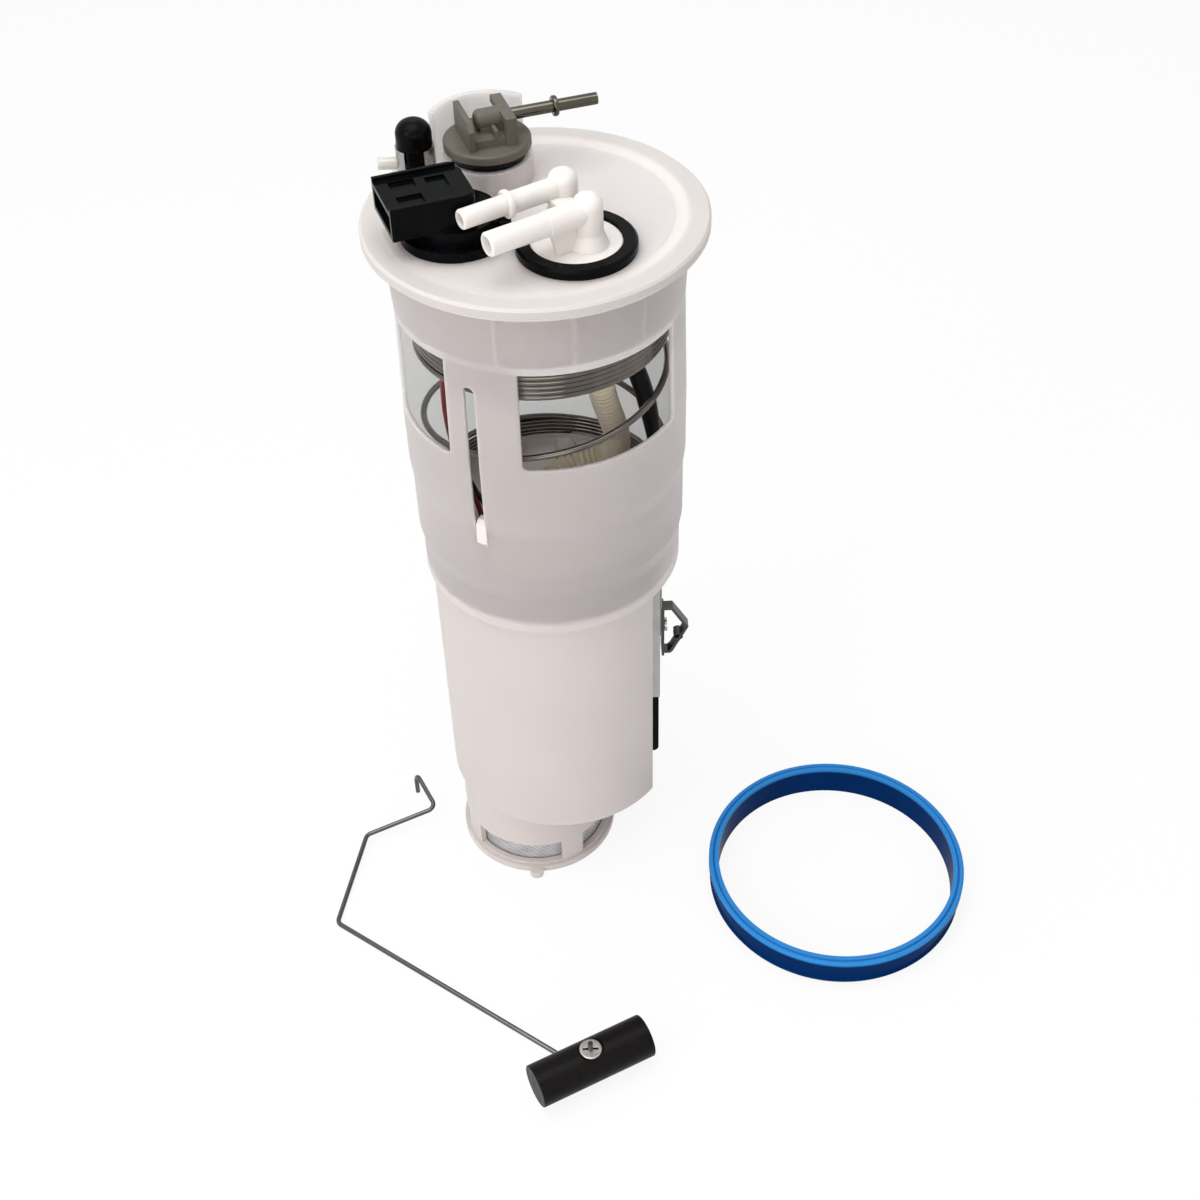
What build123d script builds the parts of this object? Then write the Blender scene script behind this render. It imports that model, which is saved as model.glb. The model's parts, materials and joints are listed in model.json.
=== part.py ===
from build123d import *
import math
import os

# Fuel pump module standing on its strainer foot, with its float arm and tank seal laid beside it.
# Millimetres. The origin is on the floor, on the axis of the housing. +Z is up, and +X points
# out of the flat that carries the level sender.

# Clearances
SLIDE_CLEARANCE = 0.4
SEAT_GAP = 0.3
FIT_GAP = 0.2
RUNNING_GAP = 0.08

# Heights, each from the piece below
FOOT_HEIGHT = 45.0
RESERVOIR_HEIGHT = 158.0
COVER_THICKNESS = 3.6
SKIRT_OVERLAP = 21.0
SHOULDER_RISE = 5.0
MIDDLE_HEIGHT = 36.0
CAGE_HEIGHT = 31.0
WINDOW_HEIGHT = 47.0
COLLAR_HEIGHT = 31.0
FLANGE_THICKNESS = 4.6
RESERVOIR_TOP = FOOT_HEIGHT + RESERVOIR_HEIGHT
COVER_TOP = RESERVOIR_TOP + COVER_THICKNESS
HOUSING_BOTTOM = RESERVOIR_TOP - SKIRT_OVERLAP
LOWER_SHOULDER = RESERVOIR_TOP + SHOULDER_RISE
UPPER_SHOULDER = LOWER_SHOULDER + MIDDLE_HEIGHT
WINDOW_BOTTOM = UPPER_SHOULDER + CAGE_HEIGHT
WINDOW_TOP = WINDOW_BOTTOM + WINDOW_HEIGHT
FLANGE_UNDERSIDE = WINDOW_TOP + COLLAR_HEIGHT
DECK = FLANGE_UNDERSIDE + FLANGE_THICKNESS

# Housing: flange, collar, windowed cage and skirt
FLANGE_RADIUS = 70.0
FLANGE_OVERHANG = 8.0
LIP_WIDTH = 9.0
LIP_RISE = 1.0
LIP_SLOPE = 5.0
RIM_ROUND = 1.0
COLLAR_TAPER = 1.8
CAGE_STEP = 0.8
MIDDLE_STEP = 1.0
SKIRT_STEP = 1.4
SHOULDER_HEIGHT = 8.0
HOUSING_WALL = 2.0
COLLAR_TOP_RADIUS = FLANGE_RADIUS - FLANGE_OVERHANG
COLLAR_BOTTOM_RADIUS = COLLAR_TOP_RADIUS - COLLAR_TAPER
CAGE_RADIUS = COLLAR_TOP_RADIUS - CAGE_STEP
MIDDLE_RADIUS = CAGE_RADIUS - MIDDLE_STEP
SKIRT_RADIUS = MIDDLE_RADIUS - SKIRT_STEP
POST_WIDTH_DEG = 30.5
POST_STARTS_DEG = (-130.0, -28.5, 50.0, 151.5)
WINDOW_CORNER = 2.5
GUIDE_SLOT_DEG = (-119.3, 60.7)
GUIDE_SLOT_WIDTH = 5.4
GUIDE_SLOT_RISE = 23.4
GUIDE_SLOT_DROP = 9.5
GUIDE_SLOT_BOTTOM = COVER_TOP + GUIDE_SLOT_RISE
GUIDE_SLOT_TOP = WINDOW_TOP - GUIDE_SLOT_DROP
SEAT_RING_WIDTH = 9.0
SEAT_RING_HEIGHT = 2.5
SEAT_RIB_COUNT = 12
SEAT_RIB_START_DEG = 12.7
SEAT_RIB_THICKNESS = 1.8
SEAT_RIB_SETBACK = 3.0
SEAT_LEVEL = WINDOW_TOP + SEAT_GAP

# Reservoir: a cup with one flat side
RESERVOIR_WALL = 2.2
RESERVOIR_FLOOR = 2.6
RESERVOIR_RADIUS = SKIRT_RADIUS - HOUSING_WALL - SLIDE_CLEARANCE
FLAT_DEPTH = 11.9
FLAT_X = RESERVOIR_RADIUS - FLAT_DEPTH
RESERVOIR_INSIDE = FOOT_HEIGHT + RESERVOIR_FLOOR
COVER_SKIRT_DEPTH = 6.0
COVER_SKIRT_WALL = 2.0
SPRING_GUIDE_HEIGHT = 2.0
SPRING_GUIDE_WALL = 1.2
LUG_HEIGHT = 12.0
LUG_WEB = 1.3
LUG_REACH = 3.6

# Compression spring between the cover and the seat ring
SPRING_WIRE = 2.8
SPRING_SIDE_GAP = 2.1
SPRING_RADIUS = RESERVOIR_RADIUS - SPRING_SIDE_GAP - SPRING_WIRE / 2
SPRING_NOTCH = 0.7
SPRING_CORNERS = 12
SPRING_BLEND = 0.05
SPRING_BOTTOM_TURNS = 4
SPRING_TOP_TURNS = 6
SPRING_OPEN_TURNS = 2.5
SPRING_START_DEG = 78.0

# Electrical connector
CONNECTOR_AT = (-31.3, -12.3)
CONNECTOR_DEG = 198.0
CONNECTOR_BASE_RADIUS = 22.0
CONNECTOR_BASE_HEIGHT = 4.0
CONNECTOR_DRUM_RADIUS = 17.5
CONNECTOR_DRUM_HEIGHT = 10.0
CONNECTOR_PLUG_RADIUS = 16.6
CONNECTOR_PLUG_DEPTH = 16.0
SHROUD_LENGTH = 34.5
SHROUD_WIDTH = 27.5
SHROUD_HEIGHT = 12.0
SHROUD_WALL = 2.0
SHROUD_DEPTH = 22.0
SHROUD_SHIFT = 10.8
SHROUD_RAIL = 1.6
SHROUD_BACK_ROUND = 5.0
SHROUD_POCKET_DEPTH = 1.2
SHROUD_POCKETS = ((-10.0, -8.0, 8.0, 9.0), (2.0, -9.5, 10.0, 6.0), (2.0, 2.5, 10.0, 7.0))
BASE_RIB_COUNT = 12
BASE_RIB_THICKNESS = 1.4
BASE_RIM = 1.4
BASE_GROOVE = 1.2
TERMINAL_COUNT = 4
TERMINAL_PITCH = 5.4
TERMINAL_WIDTH = 2.8
TERMINAL_THICKNESS = 0.8
TERMINAL_LENGTH = 15.0
SEAL_INNER = 17.2
SEAL_OUTER = 20.4
SEAL_HEIGHT = 1.7

# Rollover valve on its tower
ROLLOVER_AT = (-18.2, 32.0)
ROLLOVER_DEG = 16.5
TOWER_RADIUS = 18.3
TOWER_WALL = 3.0
TOWER_HEIGHT = 10.0
SHIELD_RADIUS = 24.4
SHIELD_WALL = 2.0
SHIELD_HEIGHT = 25.4
SHIELD_SPAN_DEG = (53.0, 163.0)
GROMMET_WALL = 2.0
GROMMET_LIP_RADIUS = 17.3
GROMMET_LIP_HEIGHT = 4.0
VALVE_DISC_RADIUS = 18.0
VALVE_DISC_HEIGHT = 3.5
VALVE_PLATE_LENGTH = 23.0
VALVE_PLATE_HEIGHT = 11.6
VALVE_PLATE_THICKNESS = 2.4
VALVE_PLATE_OFFSETS = (-9.0, 7.5)
VALVE_BAR_HEIGHT = 3.0
VALVE_BAR_OVERHANG = 1.1
VALVE_BLOCK_HEIGHT = 3.5
VALVE_ELBOW_RADIUS = 4.2
VALVE_RIB = 1.6
VALVE_CHAMBER_DEPTH = 22.0
VALVE_CHAMBER_WALL = 2.0
VAPOUR_TUBE_RADIUS = 2.5
VAPOUR_TUBE_REACH = 47.0
VAPOUR_TUBE_HEIGHT = 7.8
VAPOUR_BEAD_RADIUS = 4.2
VAPOUR_BEAD_AT = 29.0
VAPOUR_BEAD_WIDTH = 2.2
VAPOUR_BORE = 1.5
RETAINER_HEIGHT = 2.0
VALVE_FLOAT_HEIGHT = 13.0
VALVE_FLOAT_GAP = 0.6

# Vent fitting with its rubber cap
VENT_AT = (-47.5, 30.0)
VENT_CUP_RADIUS = 8.0
VENT_CUP_WALL = 0.8
VENT_CUP_HEIGHT = 15.0
VENT_FOOT_HEIGHT = 1.5
VENT_PAD_RIM = 0.6
VENT_STEM_RADIUS = 3.2
VENT_STEM_TOP = 19.0
VENT_STEM_DEPTH = 9.5
VENT_NOTCH_WIDTH = 8.0
VENT_NOTCH_DEPTH = 7.0
VENT_TONGUE_GAP = 1.0
VENT_CAP_RADIUS = 7.4
VENT_CAP_HEIGHT = 26.0
VENT_TUBE_RADIUS = 2.5
VENT_TUBE_REACH = 15.5
VENT_TUBE_HEIGHT = 7.2

# Port cap, its grommet and the filter below it
PORT_CAP_AT = (15.7, -26.0)
PORT_CAP_RADIUS = 18.2
PORT_CAP_RISE = 3.0
PORT_CAP_DEPTH = 12.0
PORT_DEG = 210.0
PORT_HEIGHT = 17.6
PORT_TOWER_RADIUS = 6.0
PORT_TOWER_HEIGHT = 24.5
FRONT_TOWER_AT = (20.2, -28.7)
REAR_TOWER_AT = (11.3, -9.5)
FRONT_PORT_RADIUS = 4.76
REAR_PORT_RADIUS = 3.97
FRONT_PORT_LENGTH = 44.0
REAR_PORT_LENGTH = 45.5
PORT_BORE_WALL = 1.4
PORT_BORE_DEPTH = 34.0
PORT_BEAD_RADIUS = 5.6
PORT_ROOT_STEP = 0.35
FRONT_ROOT_LENGTH = 18.5
REAR_ROOT_LENGTH = 25.0
PORT_BEAD_WIDTH = 2.4
PORT_WEB = 2.4
PORT_TIP_ROUND = 0.9
GUSSET_FOOT = 14.0
GUSSET_REACH = 18.0
TOWER_FLARE = 2.5
FILTER_GROMMET_RADIUS = 23.9
FILTER_GROMMET_HEIGHT = 4.0
FILTER_GROMMET_WALL = 2.2
FILTER_GROMMET_DEPTH = 9.0
FILTER_HEIGHT = 18.0
FILTER_WALL = 1.6
FILTER_CORE_RADIUS = 8.6
PLEAT_COUNT = 24
PLEAT_DEPTH = 2.4
REGULATOR_RADIUS = 7.6
REGULATOR_HEIGHT = 13.0
INLET_AT = (22.0, -19.0)
BARB_RADIUS = 3.6
BARB_LENGTH = 11.0

# Hose, harness and leads
HOSE_RADIUS = 5.5
HOSE_BORE = 3.8
HARNESS_RADIUS = 3.1
HOSE_BENDS = ((31.0, -4.0), (37.5, 12.0), (30.0, 22.0), (8.0, 19.5))
HOSE_LIFT = 2.5
HOSE_END_RUN = 10.0
HARNESS_START_AT = (-24.0, -9.0)
HARNESS_BENDS = ((2.0, 8.0), (29.0, 2.0), (41.5, 0.5))
HARNESS_DROP = 11.0
LEAD_BENDS = ((-39.0, -14.0), (-39.0, -14.0), (-43.0, -12.0), (-42.0, -11.0), (-35.0, -14.0))
LEAD_DROP = 8.0
HARNESS_X = FLAT_X + HARNESS_RADIUS + SEAT_GAP
LEAD_RADIUS = 1.2

# Pump on the strainer axis
PUMP_AT = (-14.5, -9.6)
PUMP_RADIUS = 19.5
PUMP_WALL = 1.2
PUMP_LENGTH = 88.0
PUMP_CAP_HEIGHT = 9.0
ISOLATOR_HEIGHT = 4.0
INLET_CAP_HEIGHT = 10.4
PUMP_BOTTOM = RESERVOIR_INSIDE + ISOLATOR_HEIGHT + INLET_CAP_HEIGHT
PUMP_INLET_RADIUS = 8.6
ISOLATOR_INNER = 12.0
OUTLET_NIPPLE_RADIUS = 3.2
SHAFT_RADIUS = 2.0
MAGNET_THICKNESS = 2.2
MAGNET_SPAN_DEG = 130.0
MAGNET_OVERHANG = 4.0
COMMUTATOR_RADIUS = 8.0
COMMUTATOR_LENGTH = 12.0
ARMATURE_RADIUS = 14.4
ARMATURE_SLOTS = 8
ARMATURE_RISE = 22.0
ARMATURE_HEADROOM = 10.0
ARMATURE_BOTTOM = PUMP_BOTTOM + ARMATURE_RISE
ARMATURE_LENGTH = PUMP_LENGTH - ARMATURE_RISE - COMMUTATOR_LENGTH - ARMATURE_HEADROOM
MAGNET_LENGTH = ARMATURE_LENGTH + 2 * MAGNET_OVERHANG
BRUSH_SIZE = 4.0
BRUSH_LENGTH = 17.0
IMPELLER_RADIUS = 15.0
IMPELLER_THICKNESS = 3.0
IMPELLER_VANES = 24
ELBOW_RADIUS = 5.0
ELBOW_DEG = 53.0
ELBOW_RISE = 6.4
ELBOW_REACH = 15.0
COVER_NIPPLE_AT = (8.0, 33.0)
COVER_NIPPLE_RADIUS = 5.0
COVER_NIPPLE_HEIGHT = 11.0
TERMINAL_BLOCK_AT = (-29.0, -17.0)
TERMINAL_BLOCK = (12.0, 8.0, 4.5)
FILL_VALVE_AT = (20.0, 22.0)
FILL_VALVE_RADIUS = 9.0

# Strainer foot
FOOT_RADIUS = 39.8
FOOT_WALL_RADIUS = 38.0
FOOT_WALL = 3.2
FOOT_RIM_HEIGHT = 3.0
FOOT_WINDOW_BOTTOM = 4.5
FOOT_BAND = 26.0
FOOT_WINDOW_TOP = FOOT_HEIGHT - FOOT_BAND
FOOT_PILLAR_COUNT = 4
FOOT_PILLAR_DEG = 18.0
FOOT_PILLAR_START_DEG = -63.0
FOOT_NUB_DEG = -93.0
FOOT_NUB_WIDTH = 7.0
FOOT_NUB_REACH = 4.6
SCREEN_THICKNESS = 0.8
FOOT_TOP_PLATE = 5.0
SCREEN_TOP = FOOT_HEIGHT - FOOT_TOP_PLATE

# Level sender on the flat
SENDER_WIDTH = 30.0
SENDER_DEPTH = 4.9
SENDER_SHEET = 1.2
SENDER_BASE_RISE = 5.0
SENDER_FOOT_LENGTH = 41.0
SENDER_CHANNEL_LENGTH = 75.0
SENDER_BODY_DEPTH = 4.4
SENDER_CORNER = 3.0
SENDER_BOTTOM = FOOT_HEIGHT + SENDER_BASE_RISE
SENDER_MIDDLE = SENDER_BOTTOM + SENDER_FOOT_LENGTH
SENDER_TOP = SENDER_MIDDLE + SENDER_CHANNEL_LENGTH
PIVOT_RISE = 36.0
PIVOT_Z = SENDER_MIDDLE + PIVOT_RISE
PIVOT_RADIUS = 2.0
PIVOT_SHOULDER = 3.4
PIVOT_HEAD = 1.2
CARD_WIDTH = 26.0
CARD_OFFSET = 5.0
CARD_MARGIN = 4.0
CARD_THICKNESS = 0.7
CARD_BOTTOM = PIVOT_Z + CARD_OFFSET
CARD_TOP = SENDER_TOP - CARD_MARGIN
CLIP_STANDOFF = 1.6
CLIP_SHEET = 1.2
CLIP_WIDTH = 9.0
CLIP_STRAP_WIDTH = 5.5
CLIP_ABOVE = 13.0
CLIP_BELOW = 17.5
CLIP_KNEE = 5.5
CLIP_REACH = 13.2
CURL_RADIUS = 2.4
WIPER_WIDTH = 6.0
WIPER_THICKNESS = 0.6
WIPER_MARGIN = 8.0
WIPER_TOP = CARD_TOP - WIPER_MARGIN

# Float arm laid on the floor, with its swivelling float
ROD_RADIUS = 1.2
ROD_BEND = 4.0
ROD_TIP = (-80.5, 8.0, 0.4)
ROD_HOOK = (-81.0, 12.0, 12.5)
ROD_KNEE = (-69.5, -10.5, 8.5)
ROD_ELBOW = (-106.0, -23.8, 4.6)
ROD_HEEL = (-118.3, -77.0)
FLOAT_AT = (7.0, -170.4)
FLOAT_DEG = 25.0
FLOAT_RADIUS = 10.2
FLOAT_LENGTH = 57.6
FLOAT_BORE_GAP = 0.15
FLOAT_SPOT_RADIUS = 6.2
FLOAT_SPOT_DEPTH = 1.3
RETAINER_RADIUS = 5.2
RETAINER_THICKNESS = 0.9
RETAINER_SLOT = 1.1
ROD_END_RISE = 4.5

# Tank seal laid on the floor
SEAL_AT = (135.9, -63.5)
SEAL_LIP_RADIUS = 64.4
SEAL_WALL_RADIUS = 62.6
SEAL_BORE_RADIUS = 59.4
SEAL_RING_HEIGHT = 17.0
SEAL_LIP_HEIGHT = 4.5
SEAL_GROOVE = 1.2


def direction(degrees):
    """Unit vector in plan."""
    return Vector(math.cos(math.radians(degrees)), math.sin(math.radians(degrees)), 0)


def disc(radius, low, high, at=(0, 0)):
    """Upright cylinder between two heights."""
    return Pos(at[0], at[1], (low + high) / 2) * Cylinder(radius, high - low)


def ring(outer, inner, low, high, at=(0, 0)):
    """Upright tube between two heights."""
    return disc(outer, low, high, at) - disc(inner, low, high, at)


def turned(points, at=(0, 0)):
    """Solid of revolution about an upright axis, from (radius, height) points."""
    outline = Polyline(*[(r, 0, z) for r, z in points], close=True)
    return Pos(at[0], at[1], 0) * revolve(make_face(outline), Axis.Z)


def sector(inner, outer, low, high, start, end, at=(0, 0)):
    """Part of an upright tube between two angles in degrees."""
    arc_out = CenterArc((0, 0), outer, start, end - start)
    arc_in = CenterArc((0, 0), inner, start, end - start)
    sides = [Line(arc_out @ 0, arc_in @ 0), Line(arc_out @ 1, arc_in @ 1)]
    face = make_face([arc_out, arc_in, *sides])
    return Pos(at[0], at[1], low) * extrude(face, high - low)


def block(low, high):
    """Box between two corners."""
    size = [b - a for a, b in zip(low, high)]
    centre = [(a + b) / 2 for a, b in zip(low, high)]
    return Pos(*centre) * Box(*size)


def tube_along(points, radii, outer, inner=0.0):
    """Round tube along straight runs joined by tangent arcs."""
    path = FilletPolyline(*points, radius=radii)
    section = Circle(outer) - Circle(inner) if inner else Circle(outer)
    return sweep(Plane(path @ 0, z_dir=path % 0) * section, path)


def bend_radii(points, share=0.45):
    """Largest arc that each corner's two runs leave room for."""
    vectors = [Vector(*p) for p in points]
    radii = []
    for before, corner, after in zip(vectors, vectors[1:], vectors[2:]):
        turn = math.radians((corner - before).get_angle(after - corner))
        run = min((corner - before).length, (after - corner).length)
        radii.append(share * run / math.tan(turn / 2))
    return radii


def d_shape(radius, flat, low, high):
    """Upright round bar with one flat facing +X."""
    return disc(radius, low, high) - block((flat, -radius, low), (radius + 1, radius, high))


def housing_outline():
    """Outer wall of the housing as (radius, height), from the skirt's rim to the flange."""
    return [
        (SKIRT_RADIUS, HOUSING_BOTTOM),
        (SKIRT_RADIUS, LOWER_SHOULDER - SHOULDER_HEIGHT),
        (MIDDLE_RADIUS, LOWER_SHOULDER),
        (MIDDLE_RADIUS, UPPER_SHOULDER - SHOULDER_HEIGHT),
        (CAGE_RADIUS, UPPER_SHOULDER),
        (CAGE_RADIUS, WINDOW_BOTTOM),
        (COLLAR_BOTTOM_RADIUS, WINDOW_TOP),
        (COLLAR_TOP_RADIUS, FLANGE_UNDERSIDE),
    ]


def window(start, end):
    """Cutter for one cage window, with rounded lower corners at both posts."""
    inner = SPRING_RADIUS - SPRING_WIRE
    reach = CAGE_RADIUS + HOUSING_WALL
    cutter = sector(inner, reach, WINDOW_BOTTOM, WINDOW_TOP, start, end)
    corners = cutter.edges().filter_by(
        lambda e: abs(e.center().Z - WINDOW_BOTTOM) < 0.01 and e.geom_type == GeomType.LINE
    )
    return fillet(corners, WINDOW_CORNER)


def guide_slot(angle):
    """Cutter for one upright guide slot with a round top."""
    half = GUIDE_SLOT_WIDTH / 2
    top = GUIDE_SLOT_TOP - half
    inner = RESERVOIR_RADIUS - LUG_WEB
    reach = CAGE_RADIUS + HOUSING_WALL
    slot = block((inner, -half, GUIDE_SLOT_BOTTOM), (reach, half, top))
    slot += Pos((inner + reach) / 2, 0, top) * Rot(0, 90, 0) * Cylinder(half, reach - inner)
    return Rot(0, 0, angle) * slot


def spring_seat():
    """Ring that the spring bears on, hung from the flange on ribs."""
    seat_outer = COLLAR_BOTTOM_RADIUS - HOUSING_WALL / 2
    seat_inner = seat_outer - SEAT_RING_WIDTH
    rib_inner = seat_inner + SEAT_RIB_SETBACK
    seat = ring(seat_outer, seat_inner, SEAT_LEVEL, SEAT_LEVEL + SEAT_RING_HEIGHT)
    outline = Polyline(
        (rib_inner, 0, SEAT_LEVEL),
        (seat_outer, 0, SEAT_LEVEL),
        (COLLAR_TOP_RADIUS - HOUSING_WALL / 2, 0, FLANGE_UNDERSIDE),
        (rib_inner, 0, FLANGE_UNDERSIDE),
        close=True,
    )
    rib = extrude(make_face(outline), SEAT_RIB_THICKNESS / 2, both=True)
    for index in range(SEAT_RIB_COUNT):
        seat += Rot(0, 0, SEAT_RIB_START_DEG + index * 360 / SEAT_RIB_COUNT) * rib
    return seat


def housing():
    """Flange, collar, windowed cage and skirt, moulded in one piece."""
    outer = housing_outline()
    inner = [(r - HOUSING_WALL, z) for r, z in reversed(outer)]
    rim = [
        (FLANGE_RADIUS - RIM_ROUND, FLANGE_UNDERSIDE),
        (FLANGE_RADIUS, FLANGE_UNDERSIDE + RIM_ROUND),
        (FLANGE_RADIUS, DECK + LIP_RISE - RIM_ROUND),
        (FLANGE_RADIUS - RIM_ROUND, DECK + LIP_RISE),
        (FLANGE_RADIUS - LIP_WIDTH, DECK + LIP_RISE),
        (FLANGE_RADIUS - LIP_WIDTH - LIP_SLOPE, DECK),
        (0, DECK),
        (0, FLANGE_UNDERSIDE),
    ]
    shell = turned(outer + rim + inner)
    ends = list(POST_STARTS_DEG[1:]) + [POST_STARTS_DEG[0] + 360]
    for start, end in zip(POST_STARTS_DEG, ends):
        shell -= window(start + POST_WIDTH_DEG, end)
    for angle in GUIDE_SLOT_DEG:
        shell -= guide_slot(angle)
    shell += spring_seat()
    shell += disc(TOWER_RADIUS, DECK, DECK + TOWER_HEIGHT, ROLLOVER_AT)
    shell += sector(
        SHIELD_RADIUS - SHIELD_WALL, SHIELD_RADIUS, DECK, DECK + SHIELD_HEIGHT, *SHIELD_SPAN_DEG, ROLLOVER_AT
    )
    shell += disc(VENT_CUP_RADIUS + VENT_PAD_RIM, DECK, vent_seat(), VENT_AT)
    low = FLANGE_UNDERSIDE - HOUSING_WALL
    shell -= disc(TOWER_RADIUS - TOWER_WALL, low, DECK + TOWER_HEIGHT, ROLLOVER_AT)
    shell -= disc(CONNECTOR_PLUG_RADIUS + FIT_GAP, low, DECK, CONNECTOR_AT)
    shell -= disc(PORT_CAP_RADIUS + FILTER_GROMMET_WALL + 2 * FIT_GAP, low, DECK, PORT_CAP_AT)
    shell -= disc(VENT_STEM_RADIUS + FIT_GAP, low, vent_seat(), VENT_AT)
    return shell


def vent_seat():
    """Top of the pad that the vent fitting stands on, level with the lip."""
    return DECK + LIP_RISE


def shroud_frame():
    """Place of the connector's shroud: local X along the socket, out of its mouth."""
    centre = Vector(*CONNECTOR_AT, DECK + CONNECTOR_DRUM_HEIGHT) + direction(CONNECTOR_DEG) * SHROUD_SHIFT
    return Pos(*centre) * Rot(0, 0, CONNECTOR_DEG)


def connector_base():
    """Round bulkhead: a ribbed groove on top, a seal groove below, a drum and a plug."""
    rim_top = DECK + CONNECTOR_BASE_HEIGHT
    groove = rim_top - BASE_GROOVE
    base = disc(CONNECTOR_BASE_RADIUS, DECK, rim_top)
    base -= ring(SEAL_OUTER + FIT_GAP, SEAL_INNER - FIT_GAP, DECK, DECK + SEAL_HEIGHT + FIT_GAP)
    base -= ring(CONNECTOR_BASE_RADIUS - BASE_RIM, CONNECTOR_DRUM_RADIUS, groove, rim_top)
    half = BASE_RIB_THICKNESS / 2
    reach = CONNECTOR_BASE_RADIUS - BASE_RIM / 2
    rib = block((CONNECTOR_DRUM_RADIUS - 1, -half, groove - 0.5), (reach, half, rim_top))
    for index in range(BASE_RIB_COUNT):
        base += Rot(0, 0, index * 360 / BASE_RIB_COUNT) * rib
    base += disc(CONNECTOR_DRUM_RADIUS, groove, DECK + CONNECTOR_DRUM_HEIGHT)
    base += disc(CONNECTOR_PLUG_RADIUS, DECK - CONNECTOR_PLUG_DEPTH, rim_top)
    return Pos(*CONNECTOR_AT, 0) * base


def connector_shroud():
    """Rectangular socket with two rails, top pockets and rounded back corners."""
    half_length = SHROUD_LENGTH / 2
    half_width = SHROUD_WIDTH / 2
    rail_top = SHROUD_HEIGHT + SHROUD_RAIL
    shroud = block((-half_length, -half_width, 0), (half_length, half_width, rail_top))
    shroud = fillet(shroud.edges().filter_by(Axis.Z).sort_by(Axis.X)[:2], SHROUD_BACK_ROUND)
    shroud -= block(
        (-half_length, SHROUD_RAIL - half_width, SHROUD_HEIGHT),
        (half_length, half_width - SHROUD_RAIL, rail_top),
    )
    shroud -= block(
        (half_length - SHROUD_DEPTH, SHROUD_WALL - half_width, SHROUD_WALL),
        (half_length, half_width - SHROUD_WALL, SHROUD_HEIGHT - SHROUD_WALL),
    )
    floor = SHROUD_HEIGHT - SHROUD_POCKET_DEPTH
    for x, y, length, width in SHROUD_POCKETS:
        shroud -= block((x, y, floor), (x + length, y + width, SHROUD_HEIGHT))
    return shroud_frame() * shroud


def connector_body():
    """Round bulkhead with a rectangular socket that faces outwards."""
    return connector_base() + connector_shroud()


def connector_terminals():
    """Flat blades that stand in the socket from its back wall."""
    start = SHROUD_LENGTH / 2 - SHROUD_DEPTH
    blades = []
    for index in range(TERMINAL_COUNT):
        across = (index - (TERMINAL_COUNT - 1) / 2) * TERMINAL_PITCH
        blade = Pos(start + TERMINAL_LENGTH / 2, across, SHROUD_HEIGHT / 2) * Box(
            TERMINAL_LENGTH, TERMINAL_WIDTH, TERMINAL_THICKNESS
        )
        blades.append(shroud_frame() * blade)
    return Compound(children=blades)


def connector_seal():
    """Flat rubber ring under the connector's base."""
    return ring(SEAL_OUTER, SEAL_INNER, DECK, DECK + SEAL_HEIGHT, CONNECTOR_AT)


def valve_radius():
    """Outside of the rollover valve's stem, inside its grommet."""
    return TOWER_RADIUS - TOWER_WALL - FIT_GAP - GROMMET_WALL - FIT_GAP


def valve_seat():
    """Height of the valve disc's underside."""
    return DECK + TOWER_HEIGHT + GROMMET_LIP_HEIGHT


def rollover_grommet():
    """Rubber sleeve in the tower with a lip on its rim."""
    sleeve = TOWER_RADIUS - TOWER_WALL - FIT_GAP
    rim = DECK + TOWER_HEIGHT
    profile = [
        (valve_radius() + FIT_GAP, FLANGE_UNDERSIDE),
        (sleeve, FLANGE_UNDERSIDE),
        (sleeve, rim),
        (GROMMET_LIP_RADIUS, rim + GROMMET_LIP_HEIGHT),
        (valve_radius() + FIT_GAP, rim + GROMMET_LIP_HEIGHT),
    ]
    return turned(profile, ROLLOVER_AT)


def valve_top():
    """Height of the valve disc's upper face."""
    return valve_seat() + VALVE_DISC_HEIGHT


def valve_frame():
    """Place of the valve: local X along the vapour tube, Z from the disc's upper face."""
    return Pos(*ROLLOVER_AT, valve_top()) * Rot(0, 0, ROLLOVER_DEG)


def valve_uprights():
    """Two plates, the near one with a top bar, and the elbow between them."""
    left, right = VALVE_PLATE_OFFSETS
    half = VALVE_PLATE_LENGTH / 2
    thick = VALVE_PLATE_THICKNESS / 2
    top = VALVE_PLATE_HEIGHT
    shape = block((left - thick, -half, -1), (left + thick, half, top))
    shape = chamfer(shape.edges().filter_by(Axis.X).group_by(Axis.Z)[-1].sort_by(Axis.Y)[0], VALVE_BAR_HEIGHT)
    shape += block((right - thick, -half, -1), (right + thick, half, top))
    bar = thick + VALVE_BAR_OVERHANG
    shape += block((right - bar, -half, top - VALVE_BAR_HEIGHT), (right + bar, half, top))
    shape += block((right - bar, -half, -1), (right + bar, -half + VALVE_BAR_HEIGHT, top))
    shape += block((left, -half + VALVE_RIB, -1), (right, half - 4 * VALVE_RIB, VALVE_BLOCK_HEIGHT))
    elbow_start = left + 2 * thick + VALVE_RIB
    length = right - elbow_start
    elbow = Rot(0, 90, 0) * Cylinder(VALVE_ELBOW_RADIUS, length)
    elbow = fillet(elbow.edges().sort_by(Axis.X)[0], VALVE_ELBOW_RADIUS * 0.6)
    shape += Pos(elbow_start + length / 2, 0, VAPOUR_TUBE_HEIGHT) * elbow
    neck = VALVE_ELBOW_RADIUS * 0.9
    shape += block((elbow_start + VALVE_RIB, -neck, 0), (right, neck, VAPOUR_TUBE_HEIGHT))
    middle = (left + right) / 2 + VALVE_RIB
    shape += block((middle, -half + VALVE_RIB, 0), (middle + VALVE_RIB, 0, VALVE_BLOCK_HEIGHT + 2 * VALVE_RIB))
    return valve_frame() * shape


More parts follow.
